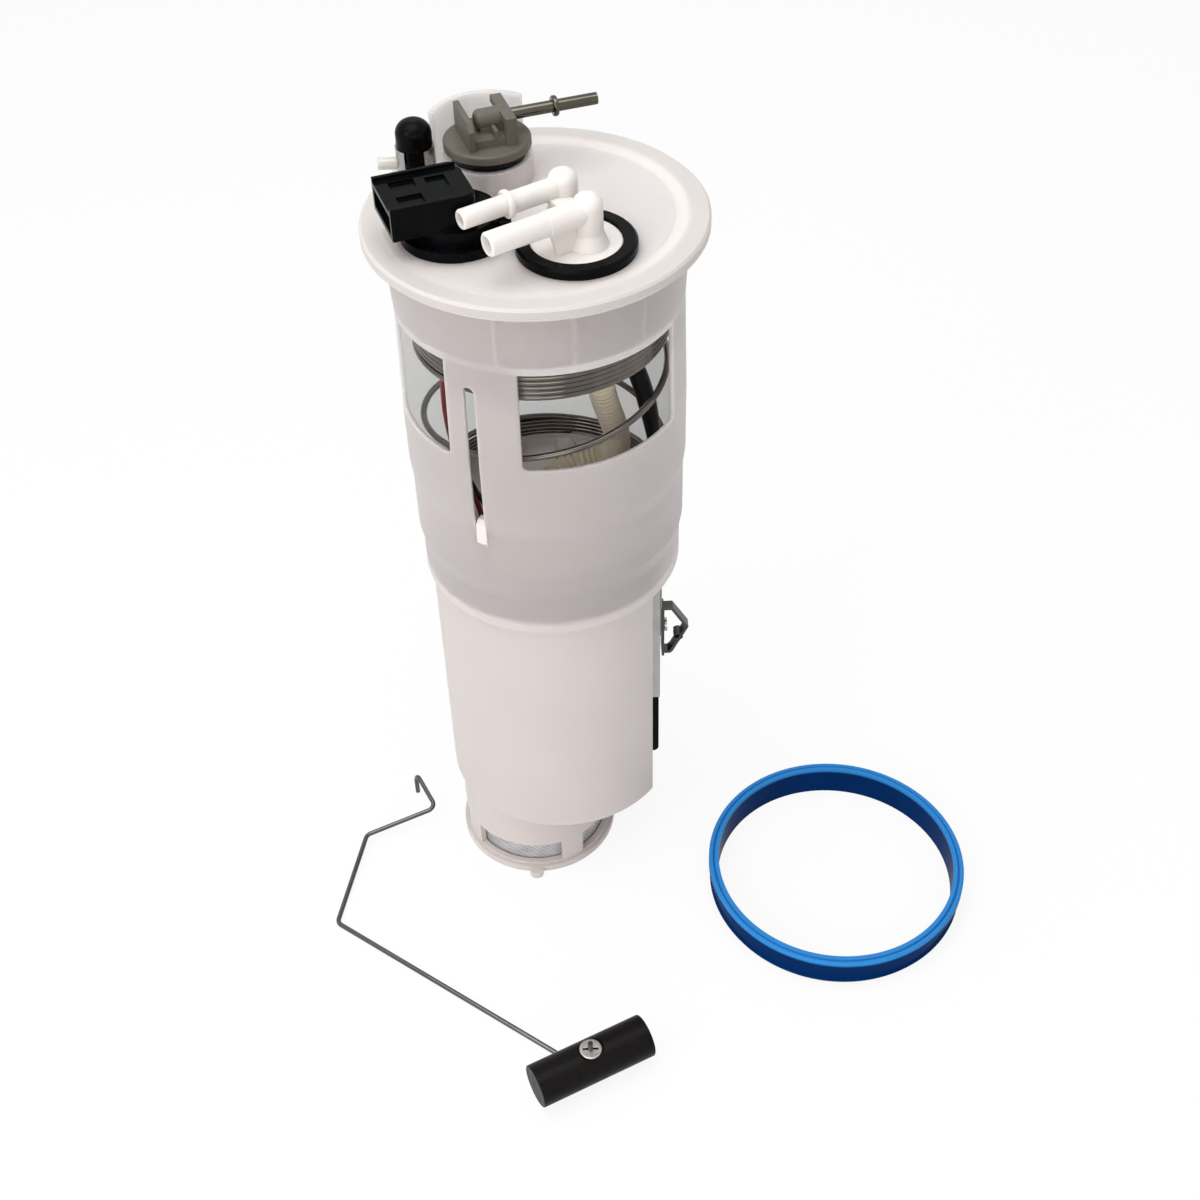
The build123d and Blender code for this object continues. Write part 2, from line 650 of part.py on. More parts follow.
def rollover_valve():
    """Stem with the float's chamber, disc and upright plates."""
    seat = valve_seat()
    bottom = FLANGE_UNDERSIDE - VALVE_CHAMBER_DEPTH
    body = disc(valve_radius(), bottom, seat)
    body -= disc(valve_radius() - VALVE_CHAMBER_WALL, bottom, FLANGE_UNDERSIDE)
    plate = disc(VALVE_DISC_RADIUS, seat, valve_top())
    body += fillet(plate.edges().group_by(Axis.Z)[-1], VALVE_DISC_HEIGHT * 0.3)
    return Pos(*ROLLOVER_AT, 0) * body + valve_uprights()


def vapour_tube():
    """Thin steel tube with a bead, from the near plate outwards."""
    start = VALVE_PLATE_OFFSETS[1] + VALVE_PLATE_THICKNESS / 2 + VALVE_BAR_OVERHANG
    length = VAPOUR_TUBE_REACH - start
    tube = Pos(start + length / 2, 0, 0) * Rot(0, 90, 0) * Cylinder(VAPOUR_TUBE_RADIUS, length)
    bead = Pos(VAPOUR_BEAD_AT, 0, 0) * Rot(0, 90, 0) * Cylinder(VAPOUR_BEAD_RADIUS, VAPOUR_BEAD_WIDTH)
    tube += fillet(bead.edges(), VAPOUR_BEAD_WIDTH * 0.35)
    tube -= Pos(start + length / 2, 0, 0) * Rot(0, 90, 0) * Cylinder(VAPOUR_BORE, length)
    return valve_frame() * Pos(0, 0, VAPOUR_TUBE_HEIGHT) * tube


def rollover_retainer():
    """Slotted plate that closes the valve's chamber."""
    low = FLANGE_UNDERSIDE - VALVE_CHAMBER_DEPTH
    plate = disc(valve_radius() - VALVE_CHAMBER_WALL - FIT_GAP / 2, low, low + RETAINER_HEIGHT, ROLLOVER_AT)
    for angle in range(0, 360, 60):
        hole = Vector(*ROLLOVER_AT) + direction(angle) * valve_radius() * 0.5
        plate -= disc(1.4, low, low + RETAINER_HEIGHT, (hole.X, hole.Y))
    return plate


def rollover_float():
    """Weight with a pointed top that closes the vent when the tank turns over."""
    low = FLANGE_UNDERSIDE - VALVE_CHAMBER_DEPTH + RETAINER_HEIGHT + SEAT_GAP / 3
    radius = valve_radius() - VALVE_CHAMBER_WALL - VALVE_FLOAT_GAP
    profile = [
        (0, low),
        (radius, low),
        (radius, low + VALVE_FLOAT_HEIGHT - 4),
        (2.2, low + VALVE_FLOAT_HEIGHT - 2),
        (0, low + VALVE_FLOAT_HEIGHT),
    ]
    return turned(profile, ROLLOVER_AT)


def vent_fitting():
    """Steel foot, stem and cup with a notch at its front."""
    foot_top = vent_seat() + VENT_FOOT_HEIGHT
    cup_top = vent_seat() + VENT_CUP_HEIGHT
    fitting = disc(VENT_CUP_RADIUS, vent_seat(), foot_top)
    fitting += ring(VENT_CUP_RADIUS, VENT_CUP_RADIUS - VENT_CUP_WALL, vent_seat(), cup_top)
    half = VENT_NOTCH_WIDTH / 2
    fitting -= block((-half, -VENT_CUP_RADIUS, cup_top - VENT_NOTCH_DEPTH), (half, -2, cup_top))
    fitting += disc(VENT_STEM_RADIUS, vent_seat() - VENT_STEM_DEPTH, vent_seat() + VENT_STEM_TOP)
    reach = VENT_CUP_RADIUS + 1
    side_hole = Rot(0, 90, 0) * Cylinder(VENT_TUBE_RADIUS + FIT_GAP, reach - VENT_STEM_RADIUS)
    fitting -= Pos(-reach / 2 - VENT_STEM_RADIUS / 2, 0, vent_seat() + VENT_TUBE_HEIGHT) * side_hole
    return Pos(*VENT_AT, 0) * fitting


def vent_cap():
    """Domed rubber cap over the stem, inside the cup, with a tongue down the cup's notch."""
    bottom = vent_seat() + VENT_TUBE_HEIGHT + VENT_TUBE_RADIUS + FIT_GAP
    radius = VENT_CAP_RADIUS
    neck = VENT_CUP_RADIUS - VENT_CUP_WALL - FIT_GAP
    cup_top = vent_seat() + VENT_CUP_HEIGHT
    cap = disc(neck, bottom, cup_top + 1)
    dome = disc(radius, cup_top + FIT_GAP, vent_seat() + VENT_CAP_HEIGHT)
    dome = fillet(dome.edges().group_by(Axis.Z)[-1], radius * 0.8)
    cap += dome
    half = VENT_NOTCH_WIDTH / 2 - VENT_TONGUE_GAP
    low = cup_top - VENT_NOTCH_DEPTH + VENT_TONGUE_GAP
    high = cup_top + VENT_TONGUE_GAP
    tongue = block((-half, -VENT_CUP_RADIUS, low), (half, -half - VENT_TONGUE_GAP, high))
    cap += fillet(tongue.edges().filter_by(Axis.Z).group_by(Axis.Y)[0], VENT_TONGUE_GAP)
    cap -= disc(VENT_STEM_RADIUS + FIT_GAP / 2, bottom, vent_seat() + VENT_STEM_TOP + FIT_GAP)
    return Pos(*VENT_AT, 0) * cap


def vent_tube():
    """Short side tube from the stem out through the cup."""
    length = VENT_TUBE_REACH - VENT_STEM_RADIUS
    tube = Cylinder(VENT_TUBE_RADIUS, length) - Pos(0, 0, -1) * Cylinder(VENT_TUBE_RADIUS - 0.9, length - 2)
    at = (VENT_AT[0] - VENT_STEM_RADIUS - length / 2, VENT_AT[1], vent_seat() + VENT_TUBE_HEIGHT)
    tube = Pos(*at) * Rot(0, 90, 0) * tube
    return tube - disc(VENT_STEM_RADIUS, vent_seat(), vent_seat() + VENT_STEM_TOP, VENT_AT)


def port(start, radius, root, length, bead):
    """One hollow port tube from its tower: a thicker root, then the stem, with or without a bead."""
    shape = Pos(length / 2, 0, 0) * Rot(0, 90, 0) * Cylinder(radius, length)
    shape = fillet(shape.edges().sort_by(Axis.X)[-1], PORT_TIP_ROUND)
    shape += Pos(root / 2, 0, 0) * Rot(0, 90, 0) * Cylinder(radius + PORT_ROOT_STEP, root)
    if bead:
        collar = Pos(root, 0, 0) * Rot(0, 90, 0) * Cylinder(PORT_BEAD_RADIUS, PORT_BEAD_WIDTH)
        shape += fillet(collar.edges(), PORT_BEAD_WIDTH * 0.3)
    bore_at = length - PORT_BORE_DEPTH / 2
    shape -= Pos(bore_at, 0, 0) * Rot(0, 90, 0) * Cylinder(radius - PORT_BORE_WALL, PORT_BORE_DEPTH)
    return Pos(*start, DECK + PORT_HEIGHT) * Rot(0, 0, PORT_DEG) * shape


def port_cap():
    """White cap with two towers, two side ports, a web and a gusset."""
    low = DECK - PORT_CAP_DEPTH
    top = DECK + PORT_CAP_RISE
    cap = disc(PORT_CAP_RADIUS, low, top, PORT_CAP_AT)
    cap = fillet(cap.edges().group_by(Axis.Z)[-1], 1.0)
    clear = DECK + FILTER_GROMMET_HEIGHT + SEAT_GAP
    tower_top = DECK + PORT_TOWER_HEIGHT
    upper = Part()
    for at in (FRONT_TOWER_AT, REAR_TOWER_AT):
        tower = disc(PORT_TOWER_RADIUS, top - 1, tower_top, at)
        upper += fillet(tower.edges().group_by(Axis.Z)[-1], PORT_TOWER_RADIUS * 0.8)
        flare_top = DECK + PORT_HEIGHT / 2
        foot_radius = PORT_TOWER_RADIUS + TOWER_FLARE
        flare = [(0, top - 1), (foot_radius, top - 1), (PORT_TOWER_RADIUS, flare_top), (0, flare_top)]
        upper += turned(flare, at)
    middle = (Vector(*FRONT_TOWER_AT) + Vector(*REAR_TOWER_AT)) * 0.5
    span = (Vector(*FRONT_TOWER_AT) - Vector(*REAR_TOWER_AT)).length
    web = block((-1, -span / 2, PORT_HEIGHT - 4.5), (PORT_WEB * 3, span / 2, PORT_HEIGHT - 4.5 + PORT_WEB))
    upper += Pos(middle.X, middle.Y, DECK) * Rot(0, 0, PORT_DEG) * web
    foot = PORT_CAP_RISE - 1
    outline = [(0, foot), (GUSSET_FOOT, foot), (GUSSET_REACH, PORT_HEIGHT), (0, PORT_HEIGHT)]
    gusset = extrude(make_face(Polyline(*[(x, 0, z) for x, z in outline], close=True)), PORT_WEB / 2, both=True)
    upper += Pos(*FRONT_TOWER_AT, DECK) * Rot(0, 0, PORT_DEG) * gusset
    upper -= ring(FILTER_GROMMET_RADIUS * 2, PORT_CAP_RADIUS - FIT_GAP, low, clear, PORT_CAP_AT)
    cap += upper
    cap += port(FRONT_TOWER_AT, FRONT_PORT_RADIUS, FRONT_ROOT_LENGTH, FRONT_PORT_LENGTH, False)
    cap += port(REAR_TOWER_AT, REAR_PORT_RADIUS, REAR_ROOT_LENGTH, REAR_PORT_LENGTH, True)
    return cap


def filter_grommet():
    """Black rubber ring round the port cap, with a sleeve through the flange."""
    bore = PORT_CAP_RADIUS + FIT_GAP
    sleeve = bore + FILTER_GROMMET_WALL
    profile = [
        (bore, DECK - FILTER_GROMMET_DEPTH),
        (sleeve, DECK - FILTER_GROMMET_DEPTH),
        (sleeve, DECK),
        (FILTER_GROMMET_RADIUS, DECK),
        (FILTER_GROMMET_RADIUS, DECK + FILTER_GROMMET_HEIGHT - 1.0),
        (FILTER_GROMMET_RADIUS - 1.0, DECK + FILTER_GROMMET_HEIGHT),
        (bore, DECK + FILTER_GROMMET_HEIGHT),
    ]
    return turned(profile, PORT_CAP_AT)


def filter_levels():
    """Bottom and top of the filter can."""
    top = DECK - PORT_CAP_DEPTH
    return top - FILTER_HEIGHT, top


def filter_can():
    """Cup under the port cap with an inlet barb in its floor."""
    low, high = filter_levels()
    can = disc(PORT_CAP_RADIUS, low, high, PORT_CAP_AT)
    can = fillet(can.edges().group_by(Axis.Z)[0], 1.2)
    can -= disc(PORT_CAP_RADIUS - FILTER_WALL, low + FILTER_WALL, high, PORT_CAP_AT)
    can += disc(BARB_RADIUS, low - BARB_LENGTH, low + FILTER_WALL, INLET_AT)
    can -= disc(BARB_RADIUS - 1.2, low - BARB_LENGTH, low + FILTER_WALL, INLET_AT)
    return can


def filter_element():
    """Pleated ring of filter paper."""
    low, high = filter_levels()
    outer = PORT_CAP_RADIUS - FILTER_WALL - FIT_GAP
    points = []
    for index in range(2 * PLEAT_COUNT):
        reach = outer - (index % 2) * PLEAT_DEPTH
        spot = direction(index * 180 / PLEAT_COUNT) * reach
        points.append((spot.X, spot.Y))
    sheet = make_face(Polyline(*points, close=True)) - Circle(FILTER_CORE_RADIUS)
    return Pos(*PORT_CAP_AT, low + FILTER_WALL) * extrude(sheet, high - low - FILTER_WALL - FIT_GAP)


def pressure_regulator():
    """Steel capsule on the floor of the filter can, inside the element."""
    low = filter_levels()[0] + FILTER_WALL
    radius = REGULATOR_RADIUS
    middle = low + REGULATOR_HEIGHT / 2
    profile = [
        (0, low),
        (radius - 2, low),
        (radius - 2, middle - 1),
        (radius, middle - 1),
        (radius, middle + 1),
        (radius - 1.5, middle + 1),
        (radius - 1.5, low + REGULATOR_HEIGHT),
        (0, low + REGULATOR_HEIGHT),
    ]
    return turned(profile, PORT_CAP_AT)


def spring_pack(low, turns):
    """Touching close turns at one end of the spring."""
    inner = SPRING_RADIUS - SPRING_WIRE / 2
    outer = SPRING_RADIUS + SPRING_WIRE / 2
    profile = [(inner, low)]
    for index in range(turns):
        turn = low + index * SPRING_WIRE
        profile.append((outer - SPRING_NOTCH, turn))
        profile.append((outer, turn + SPRING_WIRE * 0.3))
        profile.append((outer, turn + SPRING_WIRE * 0.7))
    top = low + turns * SPRING_WIRE
    profile.append((outer - SPRING_NOTCH, top))
    profile.append((inner, top))
    return turned(profile)


def open_turns(low, rise):
    """Open turns of the spring as tangent arcs round its axis."""
    step = 360 / SPRING_CORNERS
    corner_radius = SPRING_RADIUS / math.cos(math.radians(step / 2))
    count = round(SPRING_OPEN_TURNS * SPRING_CORNERS)
    start = direction(SPRING_START_DEG) * SPRING_RADIUS
    end = direction(SPRING_START_DEG + count * step) * SPRING_RADIUS
    route = [(start.X, start.Y, low)]
    for index in range(count):
        corner = direction(SPRING_START_DEG + (index + 0.5) * step) * corner_radius
        route.append((corner.X, corner.Y, low + rise * (index + 0.5) / count))
    route.append((end.X, end.Y, low + rise))
    return tube_along(route, bend_radii(route, 0.49), SPRING_WIRE / 2 - SPRING_BLEND)


def compression_spring():
    """Coil with close turns at both ends and open turns between them."""
    low = COVER_TOP + SEAT_GAP
    high = SEAT_LEVEL - SEAT_GAP - SPRING_TOP_TURNS * SPRING_WIRE
    start = low + (SPRING_BOTTOM_TURNS - 0.5) * SPRING_WIRE
    rise = high + SPRING_WIRE / 2 - start
    bottom = spring_pack(low, SPRING_BOTTOM_TURNS)
    return bottom + open_turns(start, rise) + spring_pack(high, SPRING_TOP_TURNS)


def cage_level(share):
    """Height inside the cage, from the cover at 0 to the flange at 1."""
    return COVER_TOP + share * (FLANGE_UNDERSIDE - COVER_TOP)


def elbow_axis_height():
    """Height of the outlet elbow's barb."""
    return COVER_TOP + ELBOW_RISE


def fuel_hose():
    """Hose from the filter's inlet barb down to the pump's outlet elbow."""
    top = filter_levels()[0] - SEAT_GAP
    run_z = elbow_axis_height()
    out = direction(ELBOW_DEG)
    elbow = Vector(*PUMP_AT, run_z)
    route = [
        (*INLET_AT, top),
        (*INLET_AT, top - BARB_LENGTH - HOSE_RADIUS),
        (*HOSE_BENDS[0], cage_level(0.46)),
        (*HOSE_BENDS[1], cage_level(0.21)),
        (*HOSE_BENDS[2], run_z + HOSE_LIFT),
        (*HOSE_BENDS[3], run_z),
        tuple(elbow + out * (ELBOW_REACH + HOSE_END_RUN)),
        tuple(elbow + out * (ELBOW_RADIUS + SEAT_GAP)),
    ]
    return tube_along(route, bend_radii(route), HOSE_RADIUS, HOSE_BORE)


def sender_harness():
    """Sleeved harness from the connector down past the spring to the level sender."""
    start_z = DECK - CONNECTOR_PLUG_DEPTH
    route = [
        (*HARNESS_START_AT, start_z),
        (*HARNESS_START_AT, start_z - HARNESS_DROP),
        (*HARNESS_BENDS[0], cage_level(0.79)),
        (*HARNESS_BENDS[1], cage_level(0.67)),
        (*HARNESS_BENDS[2], cage_level(0.48)),
        (HARNESS_X, 0.0, cage_level(0.25)),
        (HARNESS_X, 0.0, SENDER_TOP),
    ]
    return tube_along(route, bend_radii(route), HARNESS_RADIUS)


def pump_lead(shift):
    """One lead from the connector down to the pump's terminal block on the cover."""
    start_z = DECK - CONNECTOR_PLUG_DEPTH
    end_z = COVER_TOP + TERMINAL_BLOCK[2]
    levels = (start_z, cage_level(0.75), cage_level(0.54), cage_level(0.34), cage_level(0.17))
    route = [(x, y + shift, z) for (x, y), z in zip(LEAD_BENDS, levels)]
    route += [
        (TERMINAL_BLOCK_AT[0] + shift, TERMINAL_BLOCK_AT[1], end_z + LEAD_DROP),
        (TERMINAL_BLOCK_AT[0] + shift, TERMINAL_BLOCK_AT[1], end_z),
    ]
    return tube_along(route, bend_radii(route), LEAD_RADIUS)


def reservoir():
    """Round cup with one flat side, open at the top."""
    cup = d_shape(RESERVOIR_RADIUS, FLAT_X, FOOT_HEIGHT, RESERVOIR_TOP)
    inner = d_shape(
        RESERVOIR_RADIUS - RESERVOIR_WALL, FLAT_X - RESERVOIR_WALL, RESERVOIR_INSIDE, RESERVOIR_TOP
    )
    cup -= inner
    cup -= disc(PUMP_INLET_RADIUS + FIT_GAP, FOOT_HEIGHT, RESERVOIR_INSIDE, PUMP_AT)
    cup -= disc(2.2, FOOT_HEIGHT, RESERVOIR_INSIDE, FILL_VALVE_AT)
    for angle in range(45, 405, 90):
        spot = Vector(*FILL_VALVE_AT) + direction(angle) * FILL_VALVE_RADIUS * 0.6
        cup -= disc(1.8, FOOT_HEIGHT, RESERVOIR_INSIDE, (spot.X, spot.Y))
    return cup


def fill_valve():
    """Rubber umbrella valve on the reservoir's floor."""
    floor = RESERVOIR_INSIDE
    profile = [
        (0, FOOT_HEIGHT - 1.0),
        (2.0, FOOT_HEIGHT - 1.0),
        (2.0, floor),
        (FILL_VALVE_RADIUS, floor),
        (FILL_VALVE_RADIUS, floor + 0.8),
        (2.5, floor + 2.2),
        (0, floor + 2.2),
    ]
    return turned(profile, FILL_VALVE_AT)


def guide_lug(angle):
    """Springy tongue of the cover with a lug that rides in a guide slot."""
    half = GUIDE_SLOT_WIDTH / 2 - SEAT_GAP
    inner = RESERVOIR_RADIUS - LUG_WEB
    top = GUIDE_SLOT_BOTTOM + SEAT_GAP + LUG_HEIGHT
    tongue = block((inner, -half, RESERVOIR_TOP), (RESERVOIR_RADIUS - FIT_GAP, half, top))
    reach = RESERVOIR_RADIUS + LUG_REACH
    lug = block((inner, -half, GUIDE_SLOT_BOTTOM + SEAT_GAP), (reach, half, top))
    edge = lug.edges().filter_by(Axis.Y).group_by(Axis.Z)[-1].sort_by(Axis.X)[-1]
    lug = chamfer(edge, LUG_REACH * 0.6)
    return Rot(0, 0, angle) * (tongue + lug)


def reservoir_cover():
    """Round lid and spring seat with a skirt, guide lugs and a terminal block."""
    cover = disc(RESERVOIR_RADIUS, RESERVOIR_TOP, COVER_TOP)
    outer = RESERVOIR_RADIUS - RESERVOIR_WALL - FIT_GAP
    flat = FLAT_X - RESERVOIR_WALL - FIT_GAP
    low = RESERVOIR_TOP - COVER_SKIRT_DEPTH
    skirt = d_shape(outer, flat, low, RESERVOIR_TOP)
    skirt -= d_shape(outer - COVER_SKIRT_WALL, flat - COVER_SKIRT_WALL, low, RESERVOIR_TOP)
    cover += skirt
    guide = SPRING_RADIUS - SPRING_WIRE / 2 - 2 * SEAT_GAP
    cover += ring(guide, guide - SPRING_GUIDE_WALL, COVER_TOP - 0.5, COVER_TOP + SPRING_GUIDE_HEIGHT)
    block_at = Pos(*TERMINAL_BLOCK_AT, COVER_TOP + (TERMINAL_BLOCK[2] - 0.5) / 2)
    cover += block_at * Box(TERMINAL_BLOCK[0], TERMINAL_BLOCK[1], TERMINAL_BLOCK[2] + 0.5)
    cover -= disc(HARNESS_RADIUS + 2 * SEAT_GAP, low, COVER_TOP + SPRING_GUIDE_HEIGHT, (HARNESS_X, 0))
    cover -= disc(ELBOW_RADIUS + FIT_GAP, low, COVER_TOP, PUMP_AT)
    cover -= disc(COVER_NIPPLE_RADIUS * 0.6 + FIT_GAP, low, COVER_TOP, COVER_NIPPLE_AT)
    for angle in GUIDE_SLOT_DEG:
        cover += guide_lug(angle)
    return cover


def cover_nipple():
    """Round-topped translucent breather on the cover."""
    radius = COVER_NIPPLE_RADIUS
    top = COVER_TOP + COVER_NIPPLE_HEIGHT
    head = disc(radius, COVER_TOP, top, COVER_NIPPLE_AT)
    head = fillet(head.edges().group_by(Axis.Z)[-1], radius * 0.7)
    return head + disc(radius * 0.6, RESERVOIR_TOP - 2, COVER_TOP, COVER_NIPPLE_AT)


def outlet_elbow():
    """Elbow that takes the pump's outlet through the cover into the hose."""
    run_z = elbow_axis_height()
    low = RESERVOIR_TOP - 13
    elbow = disc(ELBOW_RADIUS, low, run_z + ELBOW_RADIUS, PUMP_AT)
    elbow = fillet(elbow.edges().group_by(Axis.Z)[-1], 2.0)
    elbow += disc(ELBOW_RADIUS + 3, COVER_TOP, COVER_TOP + 1.0, PUMP_AT)
    barb = Pos(ELBOW_REACH / 2, 0, 0) * Rot(0, 90, 0) * Cylinder(BARB_RADIUS, ELBOW_REACH)
    barb -= Pos(ELBOW_REACH / 2 + 1, 0, 0) * Rot(0, 90, 0) * Cylinder(BARB_RADIUS - 1.4, ELBOW_REACH - 2)
    elbow += Pos(*PUMP_AT, run_z) * Rot(0, 0, ELBOW_DEG) * barb
    elbow -= disc(OUTLET_NIPPLE_RADIUS + FIT_GAP / 2, low, RESERVOIR_TOP, PUMP_AT)
    return elbow


def pump_case():
    """Rolled steel tube of the pump."""
    return ring(PUMP_RADIUS, PUMP_RADIUS - PUMP_WALL, PUMP_BOTTOM, PUMP_BOTTOM + PUMP_LENGTH, PUMP_AT)


def pump_inlet_cap():
    """Lower end cap with the inlet spigot and the pumping chamber's floor."""
    floor = RESERVOIR_INSIDE
    inside = PUMP_RADIUS - PUMP_WALL - FIT_GAP / 2
    cap = disc(PUMP_RADIUS, floor + ISOLATOR_HEIGHT, PUMP_BOTTOM, PUMP_AT)
    cap += disc(inside, PUMP_BOTTOM - 1, PUMP_BOTTOM + 1.5, PUMP_AT)
    cap += disc(PUMP_INLET_RADIUS, SCREEN_TOP - 4, floor + 5, PUMP_AT)
    cap -= disc(PUMP_INLET_RADIUS - 2.5, SCREEN_TOP - 4, PUMP_BOTTOM - 3, PUMP_AT)
    cap -= disc(SHAFT_RADIUS + RUNNING_GAP, PUMP_BOTTOM - 2, PUMP_BOTTOM + 2, PUMP_AT)
    spot = Vector(*PUMP_AT) + direction(100) * IMPELLER_RADIUS * 0.42
    return cap - disc(2.0, PUMP_BOTTOM - 4, PUMP_BOTTOM + 2, (spot.X, spot.Y))


def pump_outlet_cap():
    """Upper end cap with the bearing, brush seats and outlet nipple."""
    top = PUMP_BOTTOM + PUMP_LENGTH
    inside = PUMP_RADIUS - PUMP_WALL - FIT_GAP / 2
    cap = disc(inside, top - 3, top + 1, PUMP_AT)
    cap += disc(PUMP_RADIUS, top, top + PUMP_CAP_HEIGHT, PUMP_AT)
    cap += disc(OUTLET_NIPPLE_RADIUS, top, RESERVOIR_TOP - 3, PUMP_AT)
    cap -= disc(OUTLET_NIPPLE_RADIUS - 1.2, top + 4, RESERVOIR_TOP - 3, PUMP_AT)
    return cap - disc(SHAFT_RADIUS + RUNNING_GAP, top - 3, top + 2, PUMP_AT)


def pump_isolator():
    """Rubber ring that the pump stands on."""
    high = RESERVOIR_INSIDE + ISOLATOR_HEIGHT
    return ring(PUMP_RADIUS, ISOLATOR_INNER, RESERVOIR_INSIDE, high, PUMP_AT)


def pump_magnets():
    """Two magnet shells against the wall of the case."""
    outer = PUMP_RADIUS - PUMP_WALL
    low = ARMATURE_BOTTOM - (MAGNET_LENGTH - ARMATURE_LENGTH) / 2
    half = MAGNET_SPAN_DEG / 2
    high = low + MAGNET_LENGTH
    shell = sector(outer - MAGNET_THICKNESS, outer, low, high, -half, half)
    return Compound(children=[Pos(*PUMP_AT, 0) * shell, Pos(*PUMP_AT, 0) * Rot(0, 0, 180) * shell])


def pump_armature():
    """Slotted armature, commutator and shaft."""
    top = ARMATURE_BOTTOM + ARMATURE_LENGTH
    core = disc(ARMATURE_RADIUS, ARMATURE_BOTTOM, top)
    for index in range(ARMATURE_SLOTS):
        slot = block((ARMATURE_RADIUS - 4, -0.9, ARMATURE_BOTTOM), (ARMATURE_RADIUS + 1, 0.9, top))
        core -= Rot(0, 0, index * 360 / ARMATURE_SLOTS) * slot
    core += disc(COMMUTATOR_RADIUS, top, top + COMMUTATOR_LENGTH)
    core += disc(SHAFT_RADIUS, PUMP_BOTTOM - 1.5, PUMP_BOTTOM + PUMP_LENGTH + 1.5)
    return Pos(*PUMP_AT, 0) * core


def pump_impeller():
    """Vaned disc on the shaft, over the inlet cap."""
    low = PUMP_BOTTOM + 2.0
    high = low + IMPELLER_THICKNESS
    wheel = ring(IMPELLER_RADIUS, SHAFT_RADIUS, low, high)
    for index in range(IMPELLER_VANES):
        gap = block((IMPELLER_RADIUS - 2.2, -0.9, low), (IMPELLER_RADIUS + 1, 0.9, high))
        wheel -= Rot(0, 0, index * 360 / IMPELLER_VANES) * gap
    return Pos(*PUMP_AT, 0) * wheel


def pump_brushes():
    """Two carbon brushes that hang from the outlet cap beside the commutator."""
    top = PUMP_BOTTOM + PUMP_LENGTH - 3
    brushes = []
    for side in (-1, 1):
        near = COMMUTATOR_RADIUS + SEAT_GAP
        middle = side * (near + BRUSH_SIZE / 2)
        brush = Pos(middle, 0, top - BRUSH_LENGTH / 2) * Box(BRUSH_SIZE, BRUSH_SIZE, BRUSH_LENGTH)
        brushes.append(Pos(*PUMP_AT, 0) * brush)
    return Compound(children=brushes)


def strainer_frame():
    """Foot with a closed floor, a rim, pillars and a top plate under the reservoir."""
    frame = disc(FOOT_RADIUS, 0, FOOT_RIM_HEIGHT)
    frame += disc(FOOT_WALL_RADIUS, 0, FOOT_HEIGHT)
    frame = frame - disc(FOOT_WALL_RADIUS - FOOT_WALL, FOOT_RIM_HEIGHT, SCREEN_TOP)
    for index in range(FOOT_PILLAR_COUNT):
        start = FOOT_PILLAR_START_DEG + index * 360 / FOOT_PILLAR_COUNT + FOOT_PILLAR_DEG / 2
        end = start + 360 / FOOT_PILLAR_COUNT - FOOT_PILLAR_DEG
        inner = FOOT_WALL_RADIUS - FOOT_WALL - 0.5
        frame -= sector(inner, FOOT_RADIUS + 1, FOOT_WINDOW_BOTTOM, FOOT_WINDOW_TOP, start, end)
    half = FOOT_NUB_WIDTH / 2
    nub = block((FOOT_RADIUS - 3, -half, 0), (FOOT_RADIUS + FOOT_NUB_REACH, half, FOOT_RIM_HEIGHT))
    nub = fillet(nub.edges().filter_by(Axis.Z).sort_by(Axis.X)[-2:], FOOT_NUB_WIDTH * 0.45)
    frame += Rot(0, 0, FOOT_NUB_DEG) * nub
    frame -= disc(PUMP_INLET_RADIUS + FIT_GAP, SCREEN_TOP, FOOT_HEIGHT)
    fill_spot = Vector(*FILL_VALVE_AT) - Vector(*PUMP_AT)
    frame -= disc(FILL_VALVE_RADIUS, SCREEN_TOP, FOOT_HEIGHT, (fill_spot.X, fill_spot.Y))
    return Pos(*PUMP_AT, 0) * frame


def strainer_screen():
    """Fine mesh sleeve inside the pillars."""
    outer = FOOT_WALL_RADIUS - FOOT_WALL - 0.5 - FIT_GAP
    return ring(outer, outer - SCREEN_THICKNESS, FOOT_RIM_HEIGHT, SCREEN_TOP, PUMP_AT)


def sender_face():
    """Outer face of the sender's bracket."""
    return FLAT_X + SENDER_DEPTH


def sender_bracket():
    """Pressed steel channel on the reservoir's flat."""
    half = SENDER_WIDTH / 2
    face = sender_face()
    channel = block((FLAT_X, -half, SENDER_MIDDLE), (face, half, SENDER_TOP))
    channel -= block(
        (FLAT_X, SENDER_SHEET - half, SENDER_MIDDLE), (face - SENDER_SHEET, half - SENDER_SHEET, SENDER_TOP)
    )
    hole = Pos(face, 0, PIVOT_Z) * Rot(0, 90, 0) * Cylinder(PIVOT_RADIUS + RUNNING_GAP, 4 * SENDER_SHEET)
    return channel - hole


def sender_body():
    """Black carrier: a foot below the channel and a tongue inside it."""
    half = SENDER_WIDTH / 2 - 1
    foot = block((FLAT_X, -half, SENDER_BOTTOM), (FLAT_X + SENDER_BODY_DEPTH, half, SENDER_MIDDLE))
    foot = fillet(foot.edges().filter_by(Axis.Y).group_by(Axis.Z)[0].sort_by(Axis.X)[-1], SENDER_CORNER)
    inner = SENDER_WIDTH / 2 - SENDER_SHEET - FIT_GAP
    face = sender_face() - SENDER_SHEET - FIT_GAP
    tongue = block((FLAT_X, -inner, SENDER_MIDDLE), (face, inner, SENDER_TOP))
    hole = Pos(face, 0, PIVOT_Z) * Rot(0, 90, 0) * Cylinder(PIVOT_RADIUS + RUNNING_GAP, 2 * SENDER_DEPTH)
    return foot + tongue - hole


